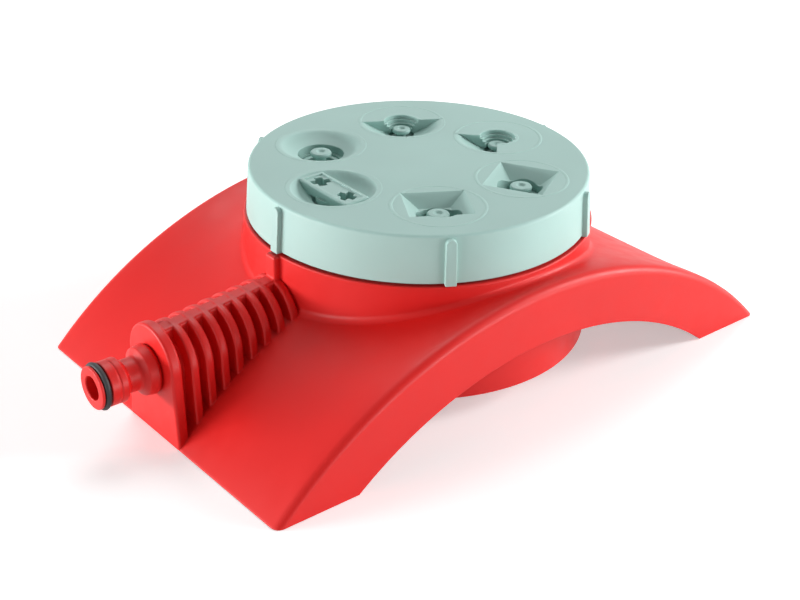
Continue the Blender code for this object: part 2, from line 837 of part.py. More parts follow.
def make_screws():
    """Cover screws, plate screws and the pivot screw."""
    below_cover = HOUSING_LOW - GAP - COVER_SCREW[2]
    for i, degrees in enumerate(PILLAR_ANGLES, start=1):
        make_screw(f"cover_screw_{i}", polar(PILLAR_ORBIT, degrees), below_cover, COVER_SCREW)
    in_sink = PORT_PLATE_LOW + 0.1 * MM
    for i, degrees in enumerate(PLATE_SCREW_ANGLES, start=1):
        make_screw(f"plate_screw_{i}", polar(PLATE_SCREW_ORBIT, degrees), in_sink, PLATE_SCREW)
    below_washer = HUB_LOW - WASHER_THICKNESS - 2 * GAP - PIVOT_SCREW[2]
    make_screw("pivot_screw", (0.0, 0.0), below_washer, PIVOT_SCREW)


def make_pivot_washer():
    """The washer between the pivot screw's head and the hub."""
    high = HUB_LOW - GAP
    low = high - WASHER_THICKNESS
    profile = [
        (WASHER_HOLE, high),
        (WASHER_RADIUS, high),
        (WASHER_RADIUS, low),
        (WASHER_HOLE, low),
    ]
    turned("pivot_washer", profile, STEEL, steps=20)


# Turret

def cap_profile():
    """Section of the turret cap: roof, tapered skirt and the lip inside the housing."""
    bore = TURRET_RADIUS - TURRET_WALL
    roof = TURRET_TOP - ROOF
    lip_bore = LIP_RADIUS - 2.3 * MM
    ledge = TURRET_LOW + 2.5 * MM
    return [
        (0.0, TURRET_TOP),
        (TURRET_RIM - TURRET_BEVEL, TURRET_TOP),
        (TURRET_RIM - 0.3 * TURRET_BEVEL, TURRET_TOP - 0.3 * TURRET_BEVEL),
        (TURRET_RIM, TURRET_TOP - TURRET_BEVEL),
        (TURRET_RADIUS, TURRET_LOW),
        (LIP_RADIUS, TURRET_LOW),
        (LIP_RADIUS, LIP_LOW),
        (lip_bore, LIP_LOW),
        (lip_bore, ledge),
        (bore, ledge),
        (bore - MM, roof),
        (0.0, roof),
    ]


def skirt_ribs():
    """The six upright ribs on the skirt, leaning with its taper."""
    lean = math.atan2(TURRET_RADIUS - TURRET_RIM, TURRET_TOP - TURRET_LOW)
    head = RIB_WIDTH / 2
    length = TURRET_TOP - 1.2 * MM - HOUSING_TOP - GAP
    arc = [math.radians(180 * i / 6) for i in range(7)]
    outline = [(-head * 1.06, 0.0), (head * 1.06, 0.0)]
    outline += [(head * math.cos(a), length - head + head * math.sin(a)) for a in arc]
    bm = bmesh.new()
    for i in range(RIB_COUNT):
        turn = Matrix.Rotation(2 * math.pi * i / RIB_COUNT, 4, "Z")
        foot = Matrix.Translation((TURRET_RADIUS, 0.0, HOUSING_TOP + GAP))
        tilt = Matrix.Rotation(-lean, 4, "Y")
        add_slab(bm, outline, -1.4 * MM, RIB_REACH, turn @ foot @ tilt @ ACROSS)
    return object_from(bm, "skirt_ribs")


def station_bosses():
    """Bosses under the roof: one for each station and one for each plate screw."""
    bm = bmesh.new()
    into_roof = TURRET_TOP - 1.0 * MM
    for _, degrees in STATIONS:
        add_cylinder(bm, BOSS_RADIUS, BOSS_LOW, into_roof, at=polar(STATION_ORBIT, degrees),
                     sides=20)
    for degrees in PLATE_SCREW_ANGLES:
        add_cylinder(bm, SCREW_BOSS_RADIUS, SCREW_PAD_TOP + GAP, into_roof,
                     at=polar(PLATE_SCREW_ORBIT, degrees), sides=10)
    return object_from(bm, "station_bosses")


def dish_cone(bm, floor, floor_radius):
    """The round dish round a pocket, open above the roof."""
    slope = (DISH_RADIUS - floor_radius) / (TURRET_TOP - floor)
    add_cylinder(bm, floor_radius, floor, TURRET_TOP + ABOVE, sides=32,
                 top_radius=DISH_RADIUS + slope * ABOVE)


def dish_frustum(bm, inner, outer, half_width):
    """A dish with four sloped sides, from x inner to x outer at the roof."""
    grow = 1 + ABOVE / DISH_DEPTH * 0.5
    floor = 0.62
    add_cylinder(bm, math.sqrt(2) * floor, DISH_FLOOR, TURRET_TOP + ABOVE, sides=4,
                 top_radius=math.sqrt(2) * grow)
    turn = Matrix.Rotation(math.pi / 4, 4, "Z")
    size = Matrix.Diagonal(((outer - inner) / 2, half_width, 1.0, 1.0))
    bm.transform(Matrix.Translation(((inner + outer) / 2, 0.0, 0.0)) @ size @ turn)


def dish_shape(bm, pattern):
    """The shaped dish of one spray pattern, in its station's own frame."""
    if pattern == "square":
        dish_frustum(bm, *SQUARE_DISH)
        return
    if pattern == "rectangle":
        dish_frustum(bm, *RECTANGLE_DISH)
        return
    if pattern == "jets":
        dish_cone(bm, JET_DISH_FLOOR, DISH_RADIUS - 0.5 * MM)
        return
    dish_cone(bm, DISH_FLOOR, POCKET_RADIUS * 0.9)
    if pattern == "half_circle":
        slice_off(bm, (HALF_CIRCLE_CHORD, 0.0, 0.0), (1.0, 0.0, 0.0))
    if pattern == "quarter_circle":
        for edge, side in zip(QUARTER_CIRCLE_EDGES, (1, -1)):
            angle = math.radians(edge)
            slice_off(bm, (0.0, 0.0, 0.0), (math.sin(angle) * side, -math.cos(angle) * side, 0.0))


def station_dishes():
    """The six dishes, sunk into the roof."""
    bm = bmesh.new()
    for pattern, degrees in STATIONS:
        dish = bmesh.new()
        dish_shape(dish, pattern)
        dish.transform(station_frame(degrees))
        mesh = bpy.data.meshes.new("dish")
        dish.to_mesh(mesh)
        dish.free()
        bm.from_mesh(mesh)
        bpy.data.meshes.remove(mesh)
    return object_from(bm, "station_dishes")


def cap_holes():
    """The round pockets through the roof and the pilot holes of the plate screws."""
    bm = bmesh.new()
    for _, degrees in STATIONS:
        add_cylinder(bm, POCKET_RADIUS, BOSS_LOW - MM, TURRET_TOP + MM,
                     at=polar(STATION_ORBIT, degrees), sides=24)
    for degrees in PLATE_SCREW_ANGLES:
        add_cylinder(bm, PLATE_HOLE, SCREW_PAD_TOP, PLATE_PILOT_TOP,
                     at=polar(PLATE_SCREW_ORBIT, degrees), sides=8)
    return object_from(bm, "cap_holes")


def make_turret_cap():
    """The pale turning cap."""
    cap = turned("turret_cap", cap_profile(), GREEN, steps=64)
    join(cap, skirt_ribs(), station_bosses())
    cut(cap, station_dishes(), cap_holes())


def port_columns():
    """Port tubes, screw pads and hub, which stand on the port plate."""
    bm = bmesh.new()
    inside = (PORT_PLATE_LOW + PORT_PLATE_TOP) / 2
    for _, degrees in STATIONS:
        add_cylinder(bm, PORT_TUBE_RADIUS, inside, PORT_TUBE_TOP,
                     at=polar(STATION_ORBIT, degrees), sides=16)
    for degrees in PLATE_SCREW_ANGLES:
        add_cylinder(bm, SCREW_PAD_RADIUS, inside, SCREW_PAD_TOP,
                     at=polar(PLATE_SCREW_ORBIT, degrees), sides=12)
    add_cylinder(bm, HUB_RADIUS, HUB_LOW, inside, sides=20)
    return object_from(bm, "port_columns")


def port_bores():
    """Bores of the port tubes, screw holes and the hub's pilot hole."""
    bm = bmesh.new()
    for _, degrees in STATIONS:
        add_cylinder(bm, PORT_TUBE_BORE, PORT_PLATE_TOP, PORT_TUBE_TOP + MM,
                     at=polar(STATION_ORBIT, degrees), sides=16)
    for degrees in PLATE_SCREW_ANGLES:
        add_cylinder(bm, SCREW_SINK_RADIUS, PORT_PLATE_LOW - MM, PORT_PLATE_LOW + 1.7 * MM,
                     at=polar(PLATE_SCREW_ORBIT, degrees), sides=12)
    add_cylinder(bm, PIVOT_PILOT, HUB_LOW - MM, HUB_LOW + PIVOT_PILOT_DEPTH, sides=8)
    return object_from(bm, "port_bores")


def port_holes():
    """The holes through the plate: one for each port and each screw."""
    bm = bmesh.new()
    for _, degrees in STATIONS:
        add_cylinder(bm, PORT_HOLE, PORT_PLATE_LOW - MM, PORT_PLATE_TOP + MM,
                     at=polar(STATION_ORBIT, degrees), sides=12)
    for degrees in PLATE_SCREW_ANGLES:
        add_cylinder(bm, PLATE_HOLE, PORT_PLATE_LOW, SCREW_PAD_TOP + MM,
                     at=polar(PLATE_SCREW_ORBIT, degrees), sides=8)
    return object_from(bm, "port_holes")


def make_port_plate():
    """The turret's lower plate: it carries water from the seal to one nozzle."""
    profile = [
        (0.0, PORT_PLATE_TOP),
        (PORT_PLATE_RADIUS, PORT_PLATE_TOP),
        (PORT_PLATE_RADIUS, PORT_PLATE_LOW),
        (0.0, PORT_PLATE_LOW),
    ]
    plate = turned("port_plate", profile, WHITE, steps=40)
    join(plate, port_columns())
    cut(plate, port_bores(), port_holes())


# Nozzles

def insert_body(name):
    """Tube and flange of a nozzle insert, centred on its station."""
    flange_low = PORT_TUBE_TOP + GAP
    profile = [
        (INSERT_BORE, INSERT_TOP),
        (INSERT_RADIUS, INSERT_TOP),
        (INSERT_RADIUS, flange_low),
        (INSERT_TUBE, flange_low),
        (INSERT_TUBE, INSERT_LOW),
        (INSERT_BORE, INSERT_LOW),
    ]
    return turned(name, profile, GREEN, steps=16)


def button(name):
    """Stem and button with a dimple, in the middle of an insert."""
    under = INSERT_TOP + 0.4 * MM
    foot = INSERT_LOW + 0.4 * MM
    dimple = 1.6 * MM
    profile = [
        (0.0, BUTTON_TOP - 0.5 * MM),
        (dimple, BUTTON_TOP),
        (BUTTON_RADIUS - 0.7 * MM, BUTTON_TOP - 0.3 * MM),
        (BUTTON_RADIUS, BUTTON_TOP - 1.0 * MM),
        (BUTTON_RADIUS, under),
        (STEM_RADIUS, under - 0.8 * MM),
        (STEM_RADIUS, foot),
        (0.0, foot),
    ]
    return turned(name + "_button", profile, steps=16)


def webs(name):
    """A cross that carries the stem inside the tube."""
    bm = bmesh.new()
    reach = (INSERT_BORE + INSERT_TUBE) / 2
    half = WEB_HALF_WIDTH
    outline = [
        (reach, -half), (reach, half), (half, half), (half, reach), (-half, reach),
        (-half, half), (-reach, half), (-reach, -half), (-half, -half), (-half, -reach),
        (half, -reach), (half, -half),
    ]
    add_slab(bm, outline, INSERT_LOW + 0.8 * MM, INSERT_LOW + 3.0 * MM)
    return object_from(bm, name + "_webs")


def shutter(name, half_angle):
    """A disc sector that shuts the outlet off outside the wetted angle."""
    bm = bmesh.new()
    reach = (INSERT_BORE + INSERT_RADIUS) / 2
    start = math.pi - half_angle
    count = 8
    sweep = 2 * (math.pi - half_angle)
    arc = [start - sweep * i / count for i in range(count + 1)]
    outline = [(reach * math.cos(a), reach * math.sin(a)) for a in arc]
    outline.append((0.0, 0.0))
    add_slab(bm, outline[::-1], INSERT_TOP - 1.6 * MM, INSERT_TOP - 0.4 * MM)
    return object_from(bm, name + "_shutter")


def make_round_nozzle(pattern, degrees):
    """An insert with its button, and a shutter where the pattern isn't a full circle."""
    name = "nozzle_" + pattern
    body = insert_body(name)
    pieces = [button(name), webs(name)]
    if pattern in WETTED_HALF_ANGLE:
        pieces.append(shutter(name, math.radians(WETTED_HALF_ANGLE[pattern])))
    frame = station_frame(degrees)
    for piece in [body, *pieces]:
        piece.location = frame.translation
        piece.rotation_euler = frame.to_euler()
    join(body, *pieces)


def make_jet_nozzle(degrees):
    """The insert with a flat bar across its dish and two jet holes in the bar."""
    name = "nozzle_jets"
    body = insert_body(name)
    bm = bmesh.new()
    half, reach = JET_BAR_HALF_WIDTH, JET_BAR_HALF_LENGTH
    chamfer = 0.7 * MM
    section = [
        (-half, JET_BAR_LOW),
        (half, JET_BAR_LOW),
        (half, JET_BAR_TOP - chamfer),
        (half - chamfer, JET_BAR_TOP),
        (-half + chamfer, JET_BAR_TOP),
        (-half, JET_BAR_TOP - chamfer),
    ]
    add_slab(bm, section, -reach, reach, UPRIGHT)
    bar = object_from(bm, "jet_bar")
    bm = bmesh.new()
    overlap = 1.2 * MM
    add_cylinder(bm, INSERT_TUBE, INSERT_TOP - overlap, JET_BAR_LOW + overlap, sides=20)
    core = object_from(bm, "jet_core")
    bm = bmesh.new()
    for side in (-1, 1):
        add_cylinder(bm, JET_HOLE, JET_BAR_TOP - JET_HOLE_DEPTH, JET_BAR_TOP + MM,
                     at=(0.0, side * JET_OFFSET), sides=12)
    holes = object_from(bm, "jet_holes")
    frame = station_frame(degrees)
    for piece in (body, bar, core, holes):
        piece.location = frame.translation
        piece.rotation_euler = frame.to_euler()
    join(body, core, bar)
    cut(body, holes)


def make_nozzles():
    """One insert in each station."""
    for pattern, degrees in STATIONS:
        if pattern == "jets":
            make_jet_nozzle(degrees)
        else:
            make_round_nozzle(pattern, degrees)


make_base_shell()
make_inlet_end()
make_turret_housing()
make_seal_well()
make_bottom_cover()
make_inlet_spigot()
make_rings()
make_port_seal()
make_springs()
make_turret_cap()
make_port_plate()
make_pivot_washer()
make_screws()
make_nozzles()
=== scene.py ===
"""Garden sprinkler: the looks of its pieces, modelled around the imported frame.

Units are metres and +Z is up. Pieces are drawn about the turret's upright axis and then
moved to it, so that every finished piece has its place in its mesh.
"""

import json
import math
from contextlib import contextmanager

import bmesh
import bpy
from bpy.props import FloatProperty, FloatVectorProperty, PointerProperty
from mathutils import Matrix, Vector


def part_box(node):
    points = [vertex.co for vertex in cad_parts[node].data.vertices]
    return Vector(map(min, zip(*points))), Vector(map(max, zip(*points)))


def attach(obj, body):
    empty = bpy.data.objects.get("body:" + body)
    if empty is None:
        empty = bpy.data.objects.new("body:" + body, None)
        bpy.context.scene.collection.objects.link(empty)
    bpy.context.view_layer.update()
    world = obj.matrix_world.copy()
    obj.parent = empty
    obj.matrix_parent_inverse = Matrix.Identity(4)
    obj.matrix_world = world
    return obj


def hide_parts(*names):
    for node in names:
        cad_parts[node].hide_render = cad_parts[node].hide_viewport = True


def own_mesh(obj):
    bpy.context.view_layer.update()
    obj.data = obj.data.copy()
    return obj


bl_info = {
    "name": "Garden sprinkler",
    "version": (1, 0, 0),
    "blender": (4, 5, 0),
    "location": "3D View > Sidebar > Sprinkler",
    "description": "Models a turret lawn sprinkler piece by piece",
    "category": "Add Mesh",
}

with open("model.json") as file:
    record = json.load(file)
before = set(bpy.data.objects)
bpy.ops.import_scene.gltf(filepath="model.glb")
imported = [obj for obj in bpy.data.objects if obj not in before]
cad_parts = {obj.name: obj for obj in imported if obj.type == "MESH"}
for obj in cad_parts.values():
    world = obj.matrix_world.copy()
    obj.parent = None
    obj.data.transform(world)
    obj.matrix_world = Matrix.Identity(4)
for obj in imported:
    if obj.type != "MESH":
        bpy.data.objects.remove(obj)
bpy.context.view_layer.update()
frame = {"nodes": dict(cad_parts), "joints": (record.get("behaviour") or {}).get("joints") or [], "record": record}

MM = 0.001
NEAR_ZERO = 0.000001
MERGE_DISTANCE = 0.000002
TURN = 2 * math.pi
AXIS_X = frame["joints"][0]["pos_m"][0]
ON_AXIS = Matrix.Translation((AXIS_X, 0.0, 0.0))


def linear(hex_colour):
    """An sRGB hex colour as linear red, green and blue."""
    values = [int(hex_colour[i:i + 2], 16) / 255 for i in (1, 3, 5)]
    return tuple(v / 12.92 if v <= 0.04045 else ((v + 0.055) / 1.055) ** 2.4 for v in values)


def length(name, description, value):
    """A size that the user may change."""
    return FloatProperty(name=name, description=description, default=value, min=0.0,
                         precision=5, unit="LENGTH")


def colour(name, description, hex_colour):
    """A colour that the user may change."""
    return FloatVectorProperty(name=name, description=description, subtype="COLOR", size=3,
                               min=0.0, max=1.0, default=linear(hex_colour))


BASE_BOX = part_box("base_shell")
HOUSING_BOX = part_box("turret_housing")
CAP_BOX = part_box("turret_cap")
NOSE_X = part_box("inlet_spigot")[0].x


class SprinklerSizes(bpy.types.PropertyGroup):
    """Sizes of the sprinkler's main pieces."""

    half_length: length("Half length", "Middle to foot edge of the base",
                        (BASE_BOX[1].x - BASE_BOX[0].x) / 2)
    half_width: length("Half width", "Middle to side face of the base", BASE_BOX[1].y)
    ridge_height: length("Ridge height", "Height of the arched side faces", 46.8 * MM)
    saddle_dip: length("Saddle dip", "Fall of the top between its two ridges", 3.0 * MM)
    base_wall: length("Base wall", "Wall of the base moulding", 2.2 * MM)
    arch_half_span: length("Arch half span", "Half the arch's width at the ground", 79.0 * MM)
    arch_height: length("Arch height", "Height of the arch in the side faces", 27.0 * MM)
    housing_radius: length("Housing radius", "Round housing under the turret", 61.0 * MM)
    housing_top: length("Housing top", "Height of the housing's rim", HOUSING_BOX[1].z)
    turret_radius: length("Turret radius", "Skirt of the turret cap", CAP_BOX[1].y)
    turret_top: length("Turret top", "Height of the turret's top face", CAP_BOX[1].z)
    station_orbit: length("Station orbit", "Turret axis to the middle of a station", 37.0 * MM)
    dish_radius: length("Dish radius", "Round dish of a station", 14.3 * MM)
    pocket_radius: length("Pocket radius", "Round pocket in a dish", 7.2 * MM)


class SprinklerColours(bpy.types.PropertyGroup):
    """Colours of the sprinkler's materials."""

    body: colour("Body", "Red of the base moulding", "#E21D1A")
    turret: colour("Turret", "Pale green of the turret", "#B1D4CD")
    rubber: colour("Rubber", "Black of the rings and the seal", "#16171A")
    natural: colour("Natural", "Uncoloured resin of the port plate", "#E4E2D8")
    zinc: colour("Zinc", "Plated steel of screws and springs", "#C4C7CB")


def sizes():
    """The sizes kept with the scene."""
    return bpy.context.scene.sprinkler_sizes


def colours():
    """The colours kept with the scene."""
    return bpy.context.scene.sprinkler_colours


# Modelling helpers

def deselect():
    """Leave object mode with nothing selected."""
    if bpy.context.object is not None and bpy.context.object.mode != "OBJECT":
        bpy.ops.object.mode_set(mode="OBJECT")
    bpy.ops.object.select_all(action="DESELECT")


def activate(piece):
    """Make one piece the only selected and active one."""
    deselect()
    piece.select_set(True)
    bpy.context.view_layer.objects.active = piece


@contextmanager
def editing(piece):
    """Edit mode on one piece, with everything in it selected."""
    activate(piece)
    bpy.ops.object.mode_set(mode="EDIT")
    bpy.ops.mesh.select_all(action="SELECT")
    yield
    bpy.ops.object.mode_set(mode="OBJECT")


def primitive(name, add, **settings):
    """A new primitive under its own name, with its place and size put into its mesh."""
    deselect()
    add(**settings)
    bpy.ops.object.transform_apply()
    piece = bpy.context.object
    piece.name = name
    piece.data.name = name
    return piece


def merge(piece):
    """Close seams and poles and turn all faces outwards."""
    with editing(piece):
        bpy.ops.mesh.remove_doubles(threshold=MERGE_DISTANCE)
        bpy.ops.mesh.normals_make_consistent(inside=False)


def apply_modifier(piece, kind, **settings):
    """Add a modifier with its settings and apply it."""
    step = piece.modifiers.new(kind.lower(), kind)
    for key, value in settings.items():
        setattr(step, key, value)
    activate(piece)
    bpy.ops.object.modifier_apply(modifier=step.name)


def round_edges(piece, radius, segments):
    """Round the edges that are sharper than 50 degrees."""
    apply_modifier(piece, "BEVEL", width=radius, segments=segments, limit_method="ANGLE",
                   angle_limit=math.radians(50))


def combine(target, tools, operation, solver="EXACT"):
    """Boolean steps with tools that are used up."""
    for tool in tools:
        apply_modifier(target, "BOOLEAN", object=tool, operation=operation, solver=solver)
        bpy.data.objects.remove(tool)


def moved(piece, matrix):
    """Put a piece in its place by its mesh."""
    piece.data.transform(matrix)
    return piece


def rounded(corners, count=4):
    """A profile with rounded corners: each corner is (radius, height, fillet)."""
    points = []
    for i, (x, y, fillet) in enumerate(corners):
        here = Vector((x, y))
        if fillet == 0.0:
            points.append(tuple(here))
            continue
        before = Vector(corners[i - 1][:2]) - here
        after = Vector(corners[(i + 1) % len(corners)][:2]) - here
        half = before.angle(after) / 2
        reach = min(fillet / math.tan(half), 0.49 * before.length, 0.49 * after.length)
        radius = reach * math.tan(half)
        before.normalize()
        after.normalize()
        centre = here + (before + after).normalized() * (radius / math.sin(half))
        start = here + before * reach - centre
        end = here + after * reach - centre
        for k in range(count + 1):
            spoke = start.lerp(end, k / count).normalized()
            points.append(tuple(centre + spoke * radius))
    return points


def closed_row(name, points, fill):
    """A closed row of points, left open or filled with one face."""
    piece = primitive(name, bpy.ops.mesh.primitive_circle_add, vertices=len(points),
                      radius=1.0, fill_type=fill)
    for vert, point in zip(piece.data.vertices, points):
        vert.co = point
    return piece


def turned(name, profile, steps=96):
    """A piece spun about the upright axis from (radius, height) points."""
    piece = closed_row(name, [(radius, 0.0, height) for radius, height in profile], "NOTHING")
    with editing(piece):
        bm = bmesh.from_edit_mesh(piece.data)
        on_axis = [e for e in bm.edges if all(v.co.x < NEAR_ZERO for v in e.verts)]
        bmesh.ops.delete(bm, geom=on_axis, context="EDGES")
        bmesh.update_edit_mesh(piece.data)
        bpy.ops.mesh.spin(steps=steps, angle=TURN, center=(0, 0, 0), axis=(0, 0, 1))
    merge(piece)
    return piece


def slab(name, outline, low, high, radius=0.0, segments=3):
    """A flat outline in x and y, extruded from low to high, with rounded edges."""
    piece = closed_row(name, [(x, y, low) for x, y in outline], "NGON")
    with editing(piece):
        rise = {"value": (0.0, 0.0, high - low)}
        bpy.ops.mesh.extrude_region_move(TRANSFORM_OT_translate=rise)
    merge(piece)
    if radius > 0.0:
        round_edges(piece, radius, segments)
    return piece


def rod(name, radius, low, high, at=(0.0, 0.0), sides=48):
    """An upright cylinder."""
    return primitive(name, bpy.ops.mesh.primitive_cylinder_add, vertices=sides, radius=radius,
                     depth=high - low, location=(*at, (low + high) / 2))


def polar(radius, degrees):
    """The point at a radius and an angle about the turret's axis."""
    angle = math.radians(degrees)
    return (radius * math.cos(angle), radius * math.sin(angle))


def rods(name, radius, low, high, orbit, angles, sides):
    """Equal rods on an orbit about the turret's axis."""
    return [rod(name, radius, low, high, polar(orbit, degrees), sides) for degrees in angles]


def cross(name, reach, half, low, high):
    """Two bars that cross at right angles."""
    quarter = [(reach, -half), (reach, half), (half, half)]
    outline = []
    for k in range(4):
        c, s = round(math.cos(k * math.pi / 2)), round(math.sin(k * math.pi / 2))
        outline += [(x * c - y * s, x * s + y * c) for x, y in quarter]
    return slab(name, outline, low, high)


def dress(piece, body, slot, *nodes, angle=32):
    """Shade a finished piece, give it its finish and let it ride on its body."""
    activate(piece)
    bpy.ops.object.shade_smooth_by_angle(angle=math.radians(angle))
    apply_modifier(piece, "WEIGHTED_NORMAL", keep_sharp=True, weight=70)
    piece.data.materials.clear()
    piece.data.materials.append(finish_of(slot))
    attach(piece, body)
    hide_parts(*nodes)
    deselect()


# Materials

def add_node(tree, kind, inputs=None, **settings):
    """Add a node with its settings; an input takes a value or another node's socket."""
    node = tree.nodes.new(kind)
    for key, value in settings.items():
        setattr(node, key, value)
    for key, value in (inputs or {}).items():
        if isinstance(value, bpy.types.NodeSocket):
            tree.links.new(value, node.inputs[key])
        else:
            node.inputs[key].default_value = value
    return node


def new_material(name):
    """A material with an empty node tree, and that tree."""
    material = bpy.data.materials.new(name)
    material.use_nodes = True
    tree = material.node_tree
    tree.nodes.clear()
    return material, tree


def noise(tree, size, detail=2.0):
    """Noise whose lumps are about a size across, on object coordinates."""
    place = add_node(tree, "ShaderNodeTexCoord")
    return add_node(tree, "ShaderNodeTexNoise", {
        "Vector": place.outputs["Object"],
        "Scale": 1.0 / size,
        "Detail": detail,
    }).outputs["Fac"]


def spread(tree, socket, low, high, start=0.3, end=0.7):
    """Bring a texture's values to a range."""
    node = add_node(tree, "ShaderNodeMapRange", {
        "Value": socket,
        "From Min": start,
        "From Max": end,
        "To Min": low,
        "To Max": high,
    })
    return node.outputs["Result"]


def mixed(tree, factor, first, second):
    """A colour between two others: the mix node's inputs 6 and 7 and output 2 are colours."""
    node = add_node(tree, "ShaderNodeMix", {0: factor, 6: first, 7: second}, data_type="RGBA")
    return node.outputs[2]


def shade(value, factor=1.0):
    """A colour made lighter or darker, with its alpha."""
    return (*(min(1.0, v * factor) for v in value), 1.0)


def finish_material(material, inputs):
    """Close a material with its Principled shader."""
    shader = add_node(material.node_tree, "ShaderNodeBsdfPrincipled", inputs)
    add_node(material.node_tree, "ShaderNodeOutputMaterial",
             {"Surface": shader.outputs["BSDF"]})
    return material


def moulded_resin(name, base, roughness, grain, edge, edge_wear_and_highlight):
    """Injection moulded resin.

    The mould's spark-eroded face leaves a fine grain, the melt leaves faint clouds in the
    colour and the gloss, and edges are slightly soft. Edges are painted paler: partly rubbed
    wear, partly a painted highlight along them. A real grain is about a tenth of a millimetre,
    too fine to show, so the callers draw it coarser.
    """
    cloud_size, sheen_size = 28 * MM, 7 * MM
    cloudy, rubbed_and_highlit = shade(base, 0.94), shade(base, 1.35)
    material, tree = new_material(name)
    clouds = noise(tree, cloud_size, detail=3.0)
    sheen = noise(tree, sheen_size, detail=4.0)
    soft = add_node(tree, "ShaderNodeBevel", {"Radius": edge}, samples=6)
    bump = add_node(tree, "ShaderNodeBump", {
        "Strength": 0.22,
        "Distance": 0.03 * MM,
        "Height": noise(tree, grain),
        "Normal": soft.outputs["Normal"],
    })
    facing = add_node(tree, "ShaderNodeVectorMath", {
        0: soft.outputs["Normal"],
        1: add_node(tree, "ShaderNodeNewGeometry").outputs["Normal"],
    }, operation="DOT_PRODUCT")
    # Edges are painted paler here: partly rubbed wear, partly a painted highlight.
    worn_and_highlit_edges = spread(tree, facing.outputs["Value"], edge_wear_and_highlight, 0.0, start=0.90, end=0.995)
    body = mixed(tree, spread(tree, clouds, 0.0, 1.0), cloudy, shade(base))
    return finish_material(material, {
        "Base Color": mixed(tree, worn_and_highlit_edges, body, rubbed_and_highlit),
        "Roughness": spread(tree, sheen, roughness - 0.04, roughness + 0.05),
        "Normal": bump.outputs["Normal"],
        "IOR": 1.49,
        "Specular IOR Level": 0.38,
    })


def red_polypropylene():
    """Polypropylene: satin, a little waxy, with an even strong red."""
    return moulded_resin("satin_red_polypropylene", colours().body, roughness=0.44,
                         grain=0.45 * MM, edge=0.5 * MM, edge_wear_and_highlight=0.30)


def green_abs():
    """ABS with a fine matt grain, so that highlights spread over the pale green."""
    return moulded_resin("matt_pale_green_abs", colours().turret, roughness=0.46,
                         grain=0.40 * MM, edge=0.35 * MM, edge_wear_and_highlight=0.45)


def natural_acetal():
    """Acetal without pigment: off-white, waxy and slightly glossy."""
    return moulded_resin("natural_acetal", colours().natural, roughness=0.34,
                         grain=0.5 * MM, edge=0.3 * MM, edge_wear_and_highlight=0.2)


def nitrile_rubber():
    """Nitrile rubber from a compression mould: soft black with a greasy sheen.

    Its pits are drawn at 0.3 mm, coarser than they are, so that they show.
    """
    base = colours().rubber
    dusty = shade(base, 2.6)
    material, tree = new_material("black_nitrile_rubber")
    dust = noise(tree, 1.2 * MM, detail=4.0)
    bump = add_node(tree, "ShaderNodeBump", {
        "Strength": 0.3,
        "Distance": 0.02 * MM,
        "Height": noise(tree, 0.3 * MM),
    })
    return finish_material(material, {
        "Base Color": mixed(tree, spread(tree, dust, 0.0, 0.5, start=0.45, end=0.8),
                            shade(base), dusty),
        "Roughness": spread(tree, dust, 0.42, 0.62),
        "Normal": bump.outputs["Normal"],
        "IOR": 1.52,
    })


def zinc_plate():
    """Bright zinc on steel: a grey metal with cloudy patches in its polish."""
    base = colours().zinc
    clouded = shade(base, 0.82)
    material, tree = new_material("bright_zinc_plate")
    patches = noise(tree, 3.0 * MM, detail=5.0)
    return finish_material(material, {
        "Base Color": mixed(tree, spread(tree, patches, 0.0, 1.0), clouded, shade(base)),
        "Roughness": spread(tree, patches, 0.24, 0.42),
        "Metallic": 1.0,
    })


MAKERS = {
    "red_moulding": red_polypropylene,
    "pale_green_moulding": green_abs,
    "natural_moulding": natural_acetal,
    "black_rubber": nitrile_rubber,
    "zinc_plated_steel": zinc_plate,
}
made = {}


def finish_of(slot):
    """The material of one of the record's slots, made once."""
    if slot not in made:
        made[slot] = MAKERS[slot]()
    return made[slot]


# Base moulding

HOUSING_LOW = 7.9 * MM


def arc_radius(half_span, height):
    """Radius of an arc that rises to a height over its span."""
    return (half_span ** 2 + height ** 2) / (2 * height)


class Saddle:
    """Heights of the arched base, about the turret's axis."""

    round_over = 3.0 * MM
    past_foot = 3.0 * MM
    flatness = 6

    def __init__(self):
        size = sizes()
        self.half_length = size.half_length
        self.half_width = size.half_width
        self.dip = size.saddle_dip
        self.wall = size.base_wall
        self.top = size.ridge_height
        self.arc = arc_radius(size.half_length, size.ridge_height)
        self.end = self.half_length + self.past_foot
        self.side = self.half_width - self.round_over

    def ridge(self, x):
        """Height of the ridge over the side faces."""
        return self.top - self.arc + math.sqrt(self.arc ** 2 - x ** 2)

    def over(self, x, y):
        """Height of the top surface, which dips between the ridges."""
        across = (1 - min(1.0, (y / self.side) ** self.flatness)) ** 2
        along = max(0.0, 1 - (x / self.half_length) ** 2)
        return self.ridge(x) - self.dip * across * along

    def under(self, x, y):
        """Height of the inner surface, one wall below the top surface."""
        steep = self.arc / math.sqrt(self.arc ** 2 - x ** 2)
        return self.over(x, y) - self.wall * steep

    def reach(self, c, s, out, side):
        """Distance along a ray to the end line or the side line of the plan."""
        c, s = max(abs(c), NEAR_ZERO), max(abs(s), NEAR_ZERO)
        return (self.end + out) / c if self.end / c < self.side / s else side / s


def row(distance, height):
    """A row of the surface: how far out it lies along a ray, and how high there."""
    def place(c, s):
        out = distance(c, s)
        x, y = out * c, out * s
        return (x, y, height(x, y))
    return place


def ring_row(radius, height):
    """A level ring of the base's surface."""
    return row(lambda c, s: radius, lambda x, y: height)


def foot_row(radius, rise, surface):
    """A ring that follows a surface at a height above it."""
    return row(lambda c, s: radius, lambda x, y: surface(x, y) + rise)


def field_row(saddle, start, share, side, surface):
    """A row part of the way from the housing to the edge of the plan."""
    return row(lambda c, s: start + (saddle.reach(c, s, 0.0, side) - start) * share, surface)


def edge_row(saddle, out, drop):
    """A row of the rounded edge between the top and a side face."""
    return row(lambda c, s: saddle.reach(c, s, out, saddle.side + out),
               lambda x, y: saddle.ridge(x) - drop)


